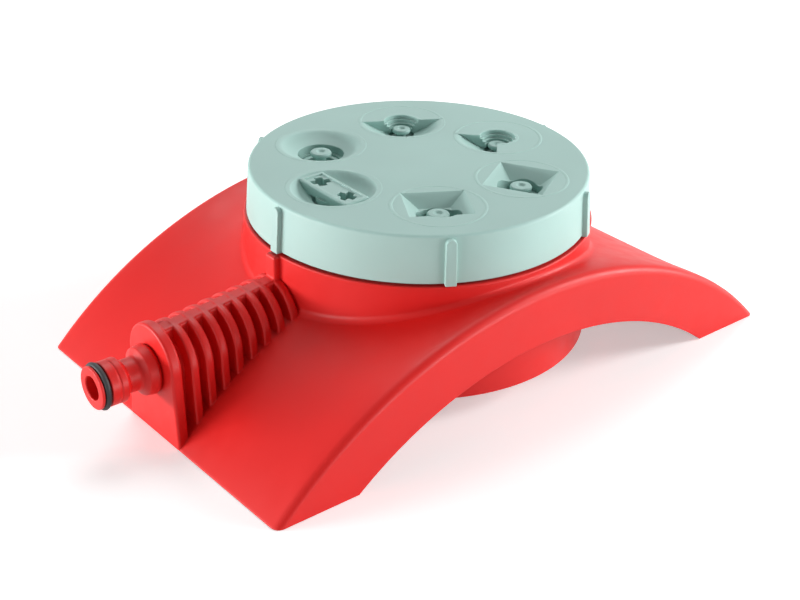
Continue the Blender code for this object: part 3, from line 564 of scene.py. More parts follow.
def low_row(saddle, out, side, height):
    """A row at the hidden lower end of the side faces."""
    return row(lambda c, s: saddle.reach(c, s, out, side), lambda x, y: height)


def housing_rows():
    """Rows from the foot of the outer wall down, round the inside and over the rim."""
    size = sizes()
    radius, top = size.housing_radius, size.housing_top
    wall, soft, fillet = 2.8 * MM, 0.5 * MM, 1.0 * MM
    bore, low = radius - wall, HOUSING_LOW
    deck_low, deck_top = 44.0 * MM, 46.5 * MM
    sleeve, sleeve_bore, sleeve_low = 11.0 * MM, 6.3 * MM, 34.0 * MM
    # The first and the last corner only aim the fillets beside them, and are left out.
    corners = [
        (radius, 30.0 * MM, 0.0), (radius, low, soft), (bore, low, soft),
        (bore, deck_low, fillet), (sleeve, deck_low, fillet), (sleeve, sleeve_low, soft),
        (sleeve_bore, sleeve_low, soft), (sleeve_bore, deck_top, soft),
        (bore, deck_top, fillet), (bore, top, soft), (radius, top, soft),
        (radius, 40.0 * MM, 0.0),
    ]
    return [ring_row(r, z) for r, z in rounded(corners)[1:-1]]


def quarter_turn(steps):
    """Cosine and sine at the steps of a quarter turn."""
    angles = [math.pi / 2 * k / steps for k in range(steps + 1)]
    return [(math.cos(a), math.sin(a)) for a in angles]


def base_rows(saddle):
    """All rows of the base's surface, as one closed round trip."""
    radius, edge = sizes().housing_radius, saddle.round_over
    fillet, under_fillet = 2.0 * MM, 1.0 * MM
    inner = saddle.half_width - saddle.wall
    below_ground = -12.0 * MM
    steps = 14
    shares = [k / steps for k in range(1, steps + 1)]
    return [
        *(foot_row(radius + fillet * (1 - c), fillet * (1 - s), saddle.over)
          for c, s in quarter_turn(6)),
        *(field_row(saddle, radius + fillet, share, saddle.side, saddle.over)
          for share in shares),
        *(edge_row(saddle, edge * s, edge * (1 - c)) for c, s in quarter_turn(6)[1:]),
        low_row(saddle, edge, saddle.half_width, below_ground),
        low_row(saddle, 0.0, inner, below_ground),
        *(field_row(saddle, radius + under_fillet, share, inner, saddle.under)
          for share in reversed(shares)),
        *(foot_row(radius + under_fillet * (1 - c), -under_fillet * (1 - s), saddle.under)
          for c, s in reversed(quarter_turn(4))),
        *housing_rows(),
    ]


def base_skin(saddle):
    """Saddle and housing as one closed surface, rolled up from a grid."""
    columns, rows = 288, base_rows(saddle)
    piece = primitive("base_moulding", bpy.ops.mesh.primitive_grid_add, size=2.0,
                      x_subdivisions=columns, y_subdivisions=len(rows))
    for vert in piece.data.vertices:
        column = round((vert.co.x + 1) / 2 * columns) % columns
        line = round((vert.co.y + 1) / 2 * len(rows)) % len(rows)
        angle = TURN * (column + 0.5) / columns
        vert.co = rows[line](math.cos(angle), math.sin(angle))
    merge(piece)
    return piece


def arch_cutters(saddle):
    """The two arches in the side faces."""
    size = sizes()
    radius, through = arc_radius(size.arch_half_span, size.arch_height), 8 * MM
    return [primitive("arch_cutter", bpy.ops.mesh.primitive_cylinder_add, vertices=360,
                      radius=radius, depth=through, rotation=(math.pi / 2, 0.0, 0.0),
                      location=(0.0, side * saddle.half_width, size.arch_height - radius))
            for side in (-1, 1)]


def ground_cutter():
    """Everything below the ground."""
    across, depth = 0.4, 40 * MM
    return primitive("ground_cutter", bpy.ops.mesh.primitive_cube_add, size=1.0,
                     location=(0.0, 0.0, -depth / 2), scale=(across, across, depth))


# Inlet end of the base, water pipe, and the well and pillars under the deck

FIN_COUNT = 8
FIN_PITCH = 5.55 * MM
FIN_FIRST = 102.6 * MM
FIN_THICKNESS = 3.0 * MM
FIN_HALF_WIDTH = 13.2 * MM
FIN_TOP = 37.1 * MM
FIN_CLIMB = 0.10
INLET_HEIGHT = 24.0 * MM
PIPE_RADIUS = 8.75 * MM
COVER_SCREW_ANGLES = (45, 135, 225, 315)
SCREW_ORBIT = 48.0 * MM
# A slab stood up along the base, one across it, and a turned piece laid along the inlet
UPRIGHT = Matrix.Rotation(math.pi / 2, 4, "X")
ACROSS = Matrix.Rotation(math.pi / 2, 4, "Z") @ UPRIGHT
ALONG_INLET = Matrix.Translation((0.0, 0.0, INLET_HEIGHT)) @ Matrix.Rotation(
    -math.pi / 2, 4, "Y")


def fin_top(x):
    """Height of the fins' tops, which climb towards the housing."""
    return FIN_TOP + FIN_CLIMB * (x + sizes().half_length)


def tombstone(half_width, foot, low, top):
    """Outline of a plate or fin: feet apart, sides drawn in, a round head."""
    spring, steps = top - half_width, 32
    start = math.asin(max(0.0, low - spring) / half_width)
    points = [] if start else [(-foot, low), (foot, low)]
    angles = [start + (math.pi - 2 * start) * i / steps for i in range(steps + 1)]
    points += [(half_width * math.cos(a), spring + half_width * math.sin(a)) for a in angles]
    return points


def fin_foot(x, low):
    """Half width of a fin at its foot, where its sides have spread."""
    spring = fin_top(x) - FIN_HALF_WIDTH
    return FIN_HALF_WIDTH + 2.0 * MM * (spring - low) / spring


def end_plate():
    """The plate that carries the spigot."""
    near = -sizes().half_length
    outline = tombstone(FIN_HALF_WIDTH, 15.5 * MM, -4.0 * MM, 39.0 * MM)
    return moved(slab("end_plate", outline, near, near + 4.0 * MM, 1.0 * MM, 4), ACROSS)


def fins(saddle):
    """The eight fins, each rounded over, that shrink into the saddle as it rises."""
    buried = 1.6 * MM
    pieces = []
    for i in range(FIN_COUNT):
        x = -FIN_FIRST + i * FIN_PITCH
        low, face = saddle.over(x, 0.0) - buried, x - 0.1 * MM
        outline = tombstone(FIN_HALF_WIDTH, fin_foot(x, low), low, fin_top(x))
        fin = slab("fin", outline, face, face + FIN_THICKNESS, 0.85 * MM, 4)
        pieces.append(moved(fin, ACROSS))
    return pieces


def crest():
    """The crest over the water pipe, which climbs the housing as the index rib."""
    size = sizes()
    start = -size.half_length + 2.0 * MM
    wall = -size.housing_radius + 1.4 * MM
    rib = -size.housing_radius - 2.3 * MM
    top = size.housing_top - 0.1 * MM
    drop, half = 0.3 * MM, 2.7 * MM
    outline = [(start, INLET_HEIGHT), (wall, INLET_HEIGHT), (wall, top), (rib, top),
               (rib, fin_top(rib) - drop), (start, fin_top(start) - drop)]
    return moved(slab("crest", outline, -half, half, 0.9 * MM, 4), UPRIGHT)


def core(saddle):
    """The body between the fins, over the water pipe."""
    start, end, steps = -sizes().half_length + 3.0 * MM, -75.0 * MM, 12
    low, reach, buried = INLET_HEIGHT - 1.2 * MM, PIPE_RADIUS - 0.4 * MM, 0.9 * MM
    stations = [start + (end - start) * i / steps for i in range(steps + 1)]
    outline = [(x, saddle.over(x, 0.0) - buried) for x in stations]
    outline += [(end, low), (start, low)]
    return moved(slab("core", outline, -reach, reach), UPRIGHT)


def water_pipe():
    """The pipe from the end plate to the seal's well, and its bore."""
    plate, well = sizes().half_length - 1.0 * MM, 27.0 * MM
    pipe = moved(rod("pipe", PIPE_RADIUS, well, plate, sides=64), ALONG_INLET)
    socket, channel = 7.2 * MM, 5.5 * MM
    mouth, step, closed = plate + 4.0 * MM, 96.5 * MM, 31.5 * MM
    profile = [(0.0, mouth), (socket, mouth), (socket, step), (channel, step),
               (channel, closed), (0.0, closed)]
    return pipe, moved(turned("bore", profile, steps=48), ALONG_INLET)


def room_pieces():
    """Seal well and cover pillars under the deck, and their holes."""
    inside, well = 45.5 * MM, (-sizes().station_orbit, 0.0)
    solids = [
        rod("well", 9.3 * MM, INLET_HEIGHT, inside, well),
        *rods("pillar", 4.0 * MM, 10.7 * MM, inside, SCREW_ORBIT, COVER_SCREW_ANGLES, 32),
    ]
    holes = [
        rod("well_bore", 7.8 * MM, 33.0 * MM, 50.0 * MM, well),
        rod("well_hole", 4.5 * MM, INLET_HEIGHT, 34.0 * MM, well, 32),
        *rods("pilot", 1.8 * MM, HOUSING_LOW, 24.0 * MM, SCREW_ORBIT, COVER_SCREW_ANGLES, 20),
    ]
    return solids, holes


class SPRINKLER_OT_base(bpy.types.Operator):
    """Model the red base with its housing, fins and water pipe"""

    bl_idname = "sprinkler.base"
    bl_label = "Base moulding"

    def execute(self, context):
        saddle = Saddle()
        base = base_skin(saddle)
        combine(base, arch_cutters(saddle), "DIFFERENCE", "MANIFOLD")
        combine(base, [ground_cutter()], "DIFFERENCE", "MANIFOLD")
        pipe, bore = water_pipe()
        solids, holes = room_pieces()
        inlet = [end_plate(), *fins(saddle), crest(), core(saddle)]
        combine(base, [*inlet, pipe, *solids], "UNION", "MANIFOLD")
        combine(base, [bore, *holes, ground_cutter()], "DIFFERENCE", "MANIFOLD")
        merge(base)
        moved(base, ON_AXIS)
        dress(base, "base", "red_moulding", "base_shell", "inlet_end", "turret_housing",
              "seal_well")
        return {"FINISHED"}


# Spigot and its ring

# Radius, distance behind the nose's face, and fillet of the nose's corners, in millimetres
NOSE_CORNERS = (
    (4.0, 0.0, 0.5), (7.2, 0.0, 0.6), (7.2, 0.9, 0.15), (5.6, 0.9, 0.15), (5.6, 3.5, 0.15),
    (7.4, 3.5, 0.3), (7.4, 6.4, 0.1), (7.2, 6.6, 0.1), (7.2, 7.0, 0.1), (7.4, 7.2, 0.1),
    (7.4, 9.3, 0.4), (5.6, 10.6, 1.0), (5.6, 15.0, 1.4), (8.0, 16.6, 0.5), (8.5, 19.7, 0.5),
)


class SPRINKLER_OT_spigot(bpy.types.Operator):
    """Model the hose spigot and the O-ring behind its nose"""

    bl_idname = "sprinkler.spigot"
    bl_label = "Hose spigot"

    def execute(self, context):
        reach = AXIS_X - NOSE_X
        plate, end = sizes().half_length + 0.3 * MM, 97.5 * MM
        bore, tail, flange = 4.0 * MM, 6.9 * MM, 7.9 * MM
        corners = [(r * MM, reach - back * MM, fillet * MM) for r, back, fillet in NOSE_CORNERS]
        corners += [(flange, plate, 0.2 * MM), (tail, plate, 0.0), (tail, end, 0.4 * MM),
                    (bore, end, 0.4 * MM)]
        spigot = turned("hose_spigot", rounded(corners), steps=128)
        moved(spigot, ON_AXIS @ ALONG_INLET)
        dress(spigot, "base", "red_moulding", "inlet_spigot")
        self.add_ring(reach - 2.2 * MM)
        return {"FINISHED"}

    def add_ring(self, height):
        """The O-ring, with the fine flash line that its mould leaves."""
        radius, tube, flash_share = 6.9 * MM, 1.0 * MM, 0.12
        ring = primitive("spigot_ring", bpy.ops.mesh.primitive_torus_add, major_radius=radius,
                         minor_radius=tube, major_segments=128, minor_segments=32)
        for vert in ring.data.vertices:
            if abs(vert.co.z) / tube < flash_share and vert.co.xy.length > radius:
                out = Vector((vert.co.x, vert.co.y, 0.0)).normalized()
                vert.co += out * 0.06 * MM
        moved(ring, ON_AXIS @ ALONG_INLET @ Matrix.Translation((0.0, 0.0, height)))
        dress(ring, "base", "black_rubber", "spigot_o_ring", angle=60)


# Underside

class SPRINKLER_OT_cover(bpy.types.Operator):
    """Model the cover under the housing"""

    bl_idname = "sprinkler.cover"
    bl_label = "Bottom cover"

    def execute(self, context):
        radius = sizes().housing_radius - 3.4 * MM
        low, high = HOUSING_LOW, 10.4 * MM
        corners = [(0.0, high, 0.0), (radius, high, 0.3 * MM), (radius, low, 0.4 * MM),
                   (0.0, low, 0.0)]
        cover = turned("bottom_cover_plate", rounded(corners), steps=192)
        holes = rods("hole", 1.9 * MM, low - MM, high + MM, SCREW_ORBIT, COVER_SCREW_ANGLES, 32)
        combine(cover, holes, "DIFFERENCE")
        moved(cover, ON_AXIS)
        dress(cover, "base", "red_moulding", "bottom_cover")
        return {"FINISHED"}


def pan_head_screw(head_low, tip):
    """A pan head screw that points upwards, with a cross recess in its head."""
    head, shank, height = 3.2 * MM, 1.5 * MM, 2.0 * MM
    corners = [
        (0.0, tip, 0.0), (0.3 * MM, tip, 0.0), (shank, tip - 3.0 * MM, 0.3 * MM),
        (shank, head_low + height, 0.2 * MM), (head, head_low + height, 0.15 * MM),
        (head, head_low + 0.9 * MM, 0.5 * MM), (head * 0.72, head_low, 0.9 * MM),
        (0.0, head_low, 0.0),
    ]
    screw = turned("screw", rounded(corners), steps=48)
    recess = cross("recess", head * 0.55, head * 0.14, head_low - MM, head_low + 1.2 * MM)
    combine(screw, [recess], "DIFFERENCE")
    return screw


class SPRINKLER_OT_cover_screws(bpy.types.Operator):
    """Model one cover screw and copy it to the other pillars"""

    bl_idname = "sprinkler.cover_screws"
    bl_label = "Cover screws"

    def execute(self, context):
        low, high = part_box("cover_screw_1")
        first = pan_head_screw(low.z, high.z)
        for i, degrees in enumerate(COVER_SCREW_ANGLES, start=1):
            screw = first.copy()
            screw.data = first.data.copy()
            screw.name = f"cover_screw_head_{i}"
            context.collection.objects.link(screw)
            at = polar(SCREW_ORBIT, degrees)
            # Each screw has come to rest at an angle of its own.
            turn = Matrix.Rotation(math.radians(degrees * 1.7), 4, "Z")
            moved(screw, ON_AXIS @ Matrix.Translation((*at, 0.0)) @ turn)
            dress(screw, "base", "zinc_plated_steel", f"cover_screw_{i}")
        bpy.data.objects.remove(first)
        return {"FINISHED"}


# Turret

# Angle of each station about the turret's axis, in degrees
STATIONS = {"full_circle": 120, "half_circle": 60, "quarter_circle": 0, "square": 300,
            "rectangle": 240, "jets": 180}
FUNNELS = ("half_circle", "quarter_circle")
# Radius and middle of the wide pockets, about the station's middle
MOATS = {
    "full_circle": (8.2 * MM, 0.0, 0.0),
    "square": (7.8 * MM, 0.0, -1.2 * MM),
    "rectangle": (7.7 * MM, 1.2 * MM, 0.0),
}
# Radius and height of the stepped funnel, in millimetres
FUNNEL_PROFILE = ((0.0, 2.0), (6.4, 2.0), (6.4, -1.3), (5.4, -1.3), (5.4, -2.4), (4.4, -2.4),
                  (4.6, -3.4), (3.9, -3.4), (3.9, -6.5), (0.0, -6.5))
PLATE_SCREW_ANGLES = (30, 150, 270)
RELIEF = 0.15 * MM
SKIRT_LOW = 50.5 * MM
SKIRT_TAPER = 1.0 * MM


def station_place(degrees):
    """Matrix of a station: x points outwards and z is zero at the top face."""
    size = sizes()
    turn = Matrix.Rotation(math.radians(degrees), 4, "Z")
    return turn @ Matrix.Translation((size.station_orbit, 0.0, size.turret_top - RELIEF))


def cap_body():
    """Roof, tapered skirt and the lip inside the housing."""
    size = sizes()
    radius, top = size.turret_radius, size.turret_top - RELIEF
    lip, lip_low, lip_width = radius - 2.2 * MM, 49.3 * MM, 2.3 * MM
    ledge, roof, soft = SKIRT_LOW + 2.5 * MM, top - 2.2 * MM, 0.3 * MM
    corners = [
        (0.0, top, 0.0), (radius - SKIRT_TAPER, top, 1.1 * MM), (radius, SKIRT_LOW, 0.4 * MM),
        (lip, SKIRT_LOW, soft), (lip, lip_low, soft), (lip - lip_width, lip_low, soft),
        (lip - lip_width, ledge, 0.0), (radius - 2.8 * MM, ledge, soft),
        (radius - 3.8 * MM, roof, 1.0 * MM), (0.0, roof, 0.0),
    ]
    return turned("turret_cap_moulding", rounded(corners, 6), steps=240)


def skirt_ribs():
    """The six upright ribs on the skirt, leaning with its taper."""
    size = sizes()
    lean = math.atan2(SKIRT_TAPER, size.turret_top - SKIRT_LOW)
    head, foot = 1.75 * MM, size.housing_top + 0.3 * MM
    rise = size.turret_top - 1.2 * MM - foot
    arc = [math.pi * i / 16 for i in range(17)]
    outline = [(-head * 1.06, 0.0), (head * 1.06, 0.0)]
    outline += [(head * math.cos(a), rise - head + head * math.sin(a)) for a in arc]
    ribs = []
    for i in range(6):
        rib = slab("rib", outline, -1.4 * MM, 1.75 * MM, 0.3 * MM)
        place = Matrix.Rotation(math.radians(60 * i), 4, "Z")
        place @= Matrix.Translation((size.turret_radius, 0.0, foot))
        place @= Matrix.Rotation(-lean, 4, "Y") @ ACROSS
        ribs.append(moved(rib, place))
    return ribs


def bosses():
    """Bosses under the roof, one for each station and each plate screw."""
    size = sizes()
    inside = size.turret_top - 1.0 * MM
    return [
        *rods("boss", 15.5 * MM, 60.0 * MM, inside, size.station_orbit, STATIONS.values(), 96),
        *rods("screw_boss", 3.6 * MM, 51.3 * MM, inside, SCREW_ORBIT, PLATE_SCREW_ANGLES, 32),
    ]


def ring_line(radius):
    """A low raised ring on the top face, with a round back."""
    half, sunk = 0.55 * MM, -1.0 * MM
    angles = [math.pi * k / 6 for k in range(7)]
    points = [(radius - half, sunk), (radius + half, sunk)]
    points += [(radius + half * math.cos(a), RELIEF * math.sin(a)) for a in angles]
    return turned("ring", points, steps=128)


def rings():
    """The raised lines round the stations and round the two funnels."""
    pieces = []
    for pattern, degrees in STATIONS.items():
        radii = (6.95 * MM, 15.4 * MM) if pattern in FUNNELS else (15.6 * MM,)
        pieces += [moved(ring_line(radius), station_place(degrees)) for radius in radii]
    return pieces


def bowl(radius, depth, floor_radius, hollow):
    """A turned dish cutter with an eased rim; hollow bends its flank inwards."""
    rim, lip, above, steps = radius + 0.7 * MM, 0.12 * MM, 2.0 * MM, 10
    points = [(0.0, above), (rim + 3.0 * MM, above), (rim + 1.0 * MM, lip), (rim, 0.0),
              (radius, -lip)]
    for k in range(1, steps + 1):
        t = k / steps
        points.append((radius + (floor_radius - radius) * t,
                       -depth * t - hollow * math.sin(math.pi * t)))
    return turned("dish", [*points, (0.0, -depth)], steps=128)


def keep_side(piece, point, normal):
    """Cut a closed piece on a plane and keep the side behind the normal."""
    with editing(piece):
        bpy.ops.mesh.bisect(plane_co=point, plane_no=normal, use_fill=True, clear_outer=True)


def frustum(inner, outer, half_width, floor):
    """A four-sided dish cutter with sloped walls, whose floor is a share of its mouth."""
    depth, above = 4.0 * MM, 1.0 * MM
    piece = primitive("dish", bpy.ops.mesh.primitive_cube_add, size=2.0)
    for vert in piece.data.vertices:
        share = floor if vert.co.z < 0 else 1 + (1 - floor) * above / depth
        x = (inner + outer) / 2 + vert.co.x * (outer - inner) / 2 * share
        y = vert.co.y * half_width * share
        vert.co = (x, y, -depth if vert.co.z < 0 else above)
    return piece


def funnel():
    """The stepped funnel behind the button of a half or quarter station."""
    return turned("funnel", [(r * MM, z * MM) for r, z in FUNNEL_PROFILE], steps=96)


def dish(pattern):
    """The cutter of one station's dish, about the station's middle."""
    radius = sizes().dish_radius
    if pattern == "square":
        return frustum(-10.6 * MM, 10.4 * MM, 10.5 * MM, 0.52)
    if pattern == "rectangle":
        return frustum(-11.0 * MM, 7.4 * MM, 10.8 * MM, 0.50)
    if pattern == "jets":
        return bowl(radius + 0.2 * MM, 4.6 * MM, 6.0 * MM, 0.8 * MM)
    if pattern == "full_circle":
        return bowl(radius, 3.6 * MM, 7.8 * MM, 0.25 * MM)
    piece = bowl(radius, 5.0 * MM, 4.6 * MM, 0.3 * MM)
    if pattern == "half_circle":
        keep_side(piece, (1.0 * MM, 0.0, 0.0), (1.0, 0.0, 0.0))
    if pattern == "quarter_circle":
        for edge, side in ((132, 1), (226, -1)):
            angle = math.radians(edge)
            keep_side(piece, (0.0, 0.0, 0.0),
                      (math.sin(angle) * side, -math.cos(angle) * side, 0.0))
    return piece


class SPRINKLER_OT_turret_cap(bpy.types.Operator):
    """Model the turning cap with its ribs and spray stations"""

    bl_idname = "sprinkler.turret_cap"
    bl_label = "Turret cap"

    def execute(self, context):
        size = sizes()
        cap = cap_body()
        combine(cap, [*skirt_ribs(), *bosses(), *rings()], "UNION", "MANIFOLD")
        cutters = []
        for pattern, degrees in STATIONS.items():
            place, at = station_place(degrees), polar(size.station_orbit, degrees)
            cutters += [moved(dish(pattern), place),
                        rod("seat", size.pocket_radius, 59.0 * MM, 61.7 * MM, at, 96)]
            if pattern in MOATS:
                radius, *middle = MOATS[pattern]
                cutters += [moved(rod("moat", radius, -6.3 * MM, 3.0 * MM, middle, 96), place)]
            elif pattern in FUNNELS:
                cutters += [moved(funnel(), place),
                            rod("throat", 4.6 * MM, 61.0 * MM, 62.4 * MM, at, 96)]
            else:
                cutters += [rod("seat", size.pocket_radius, 61.5 * MM, 64.0 * MM, at, 96)]
        cutters += rods("pilot", 1.7 * MM, 51.0 * MM, 62.0 * MM, SCREW_ORBIT,
                        PLATE_SCREW_ANGLES, 20)
        combine(cap, cutters, "DIFFERENCE", "MANIFOLD")
        merge(cap)
        moved(cap, ON_AXIS)
        dress(cap, "turret", "pale_green_moulding", "turret_cap", angle=24)
        return {"FINISHED"}


# Nozzles

INSERT_LOW = 52.0 * MM
INSERT_TOP = 61.6 * MM
# Half of the wetted angle, in degrees
WETTED = {"half_circle": 86, "quarter_circle": 47}


def insert_body(name):
    """Tube and flange of a nozzle insert, about its own axis."""
    bore, tube, flange = 5.2 * MM, 6.2 * MM, 6.9 * MM
    shoulder, under = INSERT_TOP - 1.2 * MM, 58.3 * MM
    corners = [
        (bore, shoulder, 0.3 * MM), (flange, shoulder, 0.2 * MM), (flange, under, 0.2 * MM),
        (tube, under, 0.0), (tube, INSERT_LOW, 0.3 * MM), (bore, INSERT_LOW, 0.2 * MM),
    ]
    return turned(name, rounded(corners), steps=96)


def button(top, radius):
    """Thin dimpled head on a stem, in the middle of an insert."""
    soft, stem, neck = 0.3 * MM, 1.6 * MM, radius * 0.5
    under, foot = top - 1.5 * MM, INSERT_LOW + 0.4 * MM
    corners = [
        (0.0, top - 0.8 * MM, 0.0), (0.8 * MM, top - 0.7 * MM, 0.4 * MM),
        (radius * 0.42, top, 0.4 * MM), (radius * 0.90, top - 0.1 * MM, soft),
        (radius, top - 0.6 * MM, soft), (radius, under, soft),
        (neck, under - 0.3 * MM, soft), (neck, INSERT_TOP - 0.4 * MM, soft),
        (stem, INSERT_TOP - 0.8 * MM, 0.0), (stem, foot, 0.2 * MM), (0.0, foot, 0.0),
    ]
    return turned("button", rounded(corners), steps=64)


def shutter(half_angle):
    """A disc sector that shuts the outlet off outside the wetted angle."""
    start, radius, steps = math.pi - half_angle, 6.0 * MM, 40
    angles = [start - 2 * start * k / steps for k in range(steps + 1)]
    outline = [(0.0, 0.0), *((radius * math.cos(a), radius * math.sin(a)) for a in angles)]
    return slab("shutter", outline, INSERT_TOP - 1.6 * MM, INSERT_TOP - 0.4 * MM)


def seat_insert(body, pattern):
    """Put a finished insert in its station."""
    place = station_place(STATIONS[pattern])
    place.translation.z = 0.0
    moved(body, ON_AXIS @ place)
    dress(body, "turret", "pale_green_moulding", "nozzle_" + pattern)


class SPRINKLER_OT_nozzles(bpy.types.Operator):
    """Model the insert with its button in each of five stations"""

    bl_idname = "sprinkler.nozzles"
    bl_label = "Nozzle inserts"

    def execute(self, context):
        for pattern in STATIONS:
            if pattern == "jets":
                continue
            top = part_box("nozzle_" + pattern)[1].z
            lift, radius = (0.3, 3.3) if pattern in FUNNELS else (0.4, 3.8)
            body = insert_body("insert_" + pattern)
            inner = [button(top + lift * MM, radius * MM),
                     cross("webs", 5.7 * MM, 0.8 * MM, 52.8 * MM, 55.0 * MM)]
            if pattern in WETTED:
                inner.append(shutter(math.radians(WETTED[pattern])))
            combine(body, inner, "UNION")
            seat_insert(body, pattern)
        return {"FINISHED"}


class SPRINKLER_OT_jet_bar(bpy.types.Operator):
    """Model the bar with two jet holes that lies across its dish"""

    bl_idname = "sprinkler.jet_bar"
    bl_label = "Jet bar"

    def execute(self, context):
        low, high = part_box("nozzle_jets")
        half, reach = 5.1 * MM, (high.y - low.y) / 2
        top, under = high.z + 0.3 * MM, 63.0 * MM
        body = insert_body("insert_jets")
        plug = rod("plug", 6.0 * MM, INSERT_TOP - 1.2 * MM, under + 1.2 * MM, sides=96)
        section = [(-half, under), (half, under), (half, top), (-half, top)]
        bar = moved(slab("bar", section, -reach, reach, 0.8 * MM), UPRIGHT)
        combine(body, [plug, bar], "UNION")
        floor, trough, flare, end = top - 0.5 * MM, half - 1.5 * MM, 0.6 * MM, 1.6 * MM
        section = [(-trough, floor), (trough, floor),
                   (trough + flare, top + MM), (-trough - flare, top + MM)]
        cuts = [moved(slab("trough", section, -reach + end, reach - end), UPRIGHT)]
        for side in (-1, 1):
            jet = cross("jet", 3.4 * MM, 1.45 * MM, top - 4.6 * MM, top + MM)
            turn = Matrix.Rotation(math.radians(20 * side), 4, "Z")
            cuts.append(moved(jet, Matrix.Translation((0.0, side * 7.2 * MM, 0.0)) @ turn))
        combine(body, cuts, "DIFFERENCE")
        seat_insert(body, "jets")
        return {"FINISHED"}


class SPRINKLER_OT_inner_parts(bpy.types.Operator):
    """Give the parts inside the housing and the turret their finishes"""

    bl_idname = "sprinkler.inner_parts"
    bl_label = "Inner parts"

    def execute(self, context):
        slots = {row["node"]: row["material_slot"] for row in frame["record"]["subparts"]}
        for name, piece in frame["nodes"].items():
            if piece.hide_render:
                continue
            material = finish_of(slots[name])
            if not piece.material_slots:
                piece.data.materials.append(material)
            for place in piece.material_slots:
                place.material = material
        self.let_spring_give()
        return {"FINISHED"}

    def let_spring_give(self):
        """The port spring stands in its well and gets a mesh of its own."""
        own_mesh(frame["nodes"]["port_spring"])


# Stage

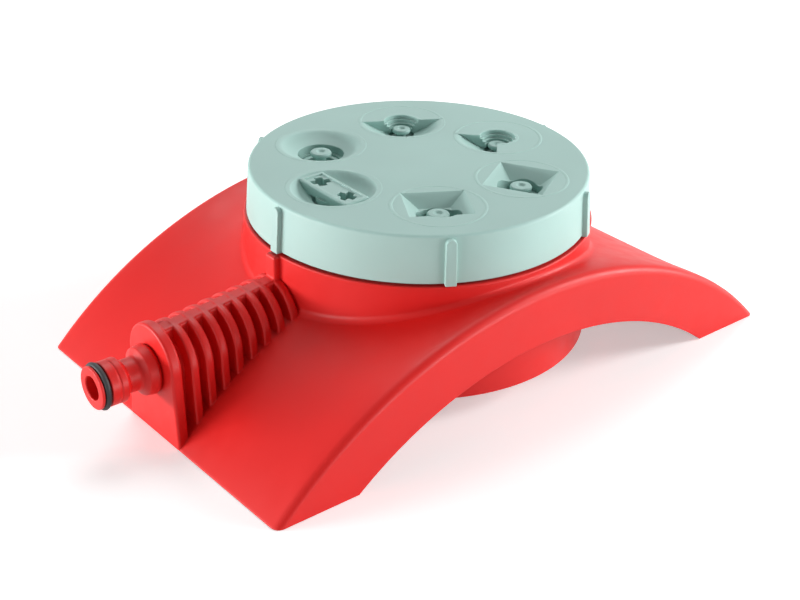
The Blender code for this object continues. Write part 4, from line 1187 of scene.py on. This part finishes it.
class SPRINKLER_OT_stage(bpy.types.Operator):
    """Set up the floor, the soft light and the camera"""

    bl_idname = "sprinkler.stage"
    bl_label = "Stage"

    def execute(self, context):
        scene = context.scene
        scene.view_settings.view_transform = "Standard"
        self.add_floor()
        self.light_world(scene)
        self.add_camera(scene)
        self.add_lamps()
        return {"FINISHED"}

    def add_floor(self):
        """A plain pale floor, just under the feet."""
        floor = primitive("floor", bpy.ops.mesh.primitive_plane_add, size=12.0,
                          location=(0.0, 0.0, -0.0002))
        material, tree = new_material("pale_matt_floor")
        glow = spread(tree, self.seen(tree), 0.0, 0.45, start=0.0, end=1.0)
        floor.data.materials.append(finish_material(material, {
            "Base Color": (*linear("#F4F4F4"), 1.0),
            "Roughness": 0.9,
            "Specular IOR Level": 0.2,
            "Emission Color": (1.0, 1.0, 1.0, 1.0),
            "Emission Strength": glow,
        }))

    def seen(self, tree):
        """One where a ray comes from the camera, a mirror or a glass, and zero elsewhere."""
        path = add_node(tree, "ShaderNodeLightPath")
        total = path.outputs["Is Camera Ray"]
        for kind in ("Is Glossy Ray", "Is Transmission Ray"):
            node = add_node(tree, "ShaderNodeMath", {0: total, 1: path.outputs[kind]},
                            operation="MAXIMUM")
            total = node.outputs["Value"]
        return total

    def light_world(self, scene):
        """An even pale sky, white where the camera sees it."""
        world = bpy.data.worlds.new("pale_sky")
        world.use_nodes = True
        tree = world.node_tree
        tree.nodes.clear()
        sky = add_node(tree, "ShaderNodeBackground", {
            "Color": (*linear("#FFFFFF"), 1.0),
            "Strength": spread(tree, self.seen(tree), 0.11, 1.0, start=0.0, end=1.0),
        })
        add_node(tree, "ShaderNodeOutputWorld", {"Surface": sky.outputs["Background"]})
        scene.world = world

    def add_camera(self, scene):
        """The camera at the photograph's viewing angle."""
        azimuth, elevation, roll = math.radians(-39.87), math.radians(28.53), math.radians(1.31)
        back = Vector((math.sin(azimuth) * math.cos(elevation),
                       -math.cos(azimuth) * math.cos(elevation),
                       math.sin(elevation)))
        right = (-back).cross(Vector((0.0, 0.0, 1.0))).normalized()
        up = right.cross(-back)
        across = math.cos(roll) * right + math.sin(roll) * up
        along = -math.sin(roll) * right + math.cos(roll) * up
        distance, shift_right, shift_up = 544.8 * MM, -5.2 * MM, 10.8 * MM
        place = Matrix((across, along, back)).transposed().to_4x4()
        place.translation = (Vector((AXIS_X, 0.0, 0.0)) + back * distance
                             + across * shift_right + along * shift_up)
        data = bpy.data.cameras.new("camera")
        data.sensor_width = 36.0
        data.lens = 66.6
        camera = bpy.data.objects.new("camera", data)
        camera.matrix_world = place
        scene.collection.objects.link(camera)
        scene.camera = camera

    def add_lamps(self):
        """Low strips on both sides, a fill, a key on the right and a box behind and above."""
        aim = Vector((AXIS_X, 0.0, 0.03))
        # Name, place, width, height and power in watts
        lamps = (
            ("left_strip", (-0.94, 0.55, 0.09), 0.6, 0.14, 9.8),
            ("left_fill", (-1.05, 0.02, 0.16), 0.4, 0.3, 2.6),
            ("right_strip", (0.42, -1.01, 0.06), 0.6, 0.14, 5.2),
            ("right_key", (0.95, -0.54, 0.45), 0.4, 0.4, 10.4),
            ("back_box", (0.32, 0.55, 1.10), 0.7, 0.7, 6.5),
        )
        for name, place, width, height, power in lamps:
            data = bpy.data.lights.new(name, "AREA")
            data.shape = "RECTANGLE"
            data.size = width
            data.size_y = height
            data.energy = power
            lamp = bpy.data.objects.new(name, data)
            lamp.location = place
            lamp.rotation_euler = (aim - Vector(place)).to_track_quat("-Z", "Y").to_euler()
            bpy.context.scene.collection.objects.link(lamp)


class SPRINKLER_PT_panel(bpy.types.Panel):
    """Sizes, colours and pieces of the sprinkler"""

    bl_idname = "SPRINKLER_PT_panel"
    bl_label = "Garden sprinkler"
    bl_space_type = "VIEW_3D"
    bl_region_type = "UI"
    bl_category = "Sprinkler"

    def draw(self, context):
        layout = self.layout
        for group in (context.scene.sprinkler_sizes, context.scene.sprinkler_colours):
            box = layout.box()
            for key in group.bl_rna.properties.keys():
                if key not in ("rna_type", "name"):
                    box.prop(group, key)
        for operator in OPERATORS:
            layout.operator(operator.bl_idname)


OPERATORS = (
    SPRINKLER_OT_stage,
    SPRINKLER_OT_base,
    SPRINKLER_OT_spigot,
    SPRINKLER_OT_cover,
    SPRINKLER_OT_cover_screws,
    SPRINKLER_OT_turret_cap,
    SPRINKLER_OT_nozzles,
    SPRINKLER_OT_jet_bar,
    SPRINKLER_OT_inner_parts,
)
CLASSES = (SprinklerSizes, SprinklerColours, *OPERATORS, SPRINKLER_PT_panel)


def register():
    for item in CLASSES:
        bpy.utils.register_class(item)
    bpy.types.Scene.sprinkler_sizes = PointerProperty(type=SprinklerSizes)
    bpy.types.Scene.sprinkler_colours = PointerProperty(type=SprinklerColours)


def unregister():
    del bpy.types.Scene.sprinkler_sizes
    del bpy.types.Scene.sprinkler_colours
    for item in reversed(CLASSES):
        bpy.utils.unregister_class(item)


def main():
    """Register the add-on and make every piece in turn."""
    register()
    for operator in OPERATORS:
        group, name = operator.bl_idname.split(".")
        getattr(getattr(bpy.ops, group), name)()


if __name__ == "__main__":
    main()
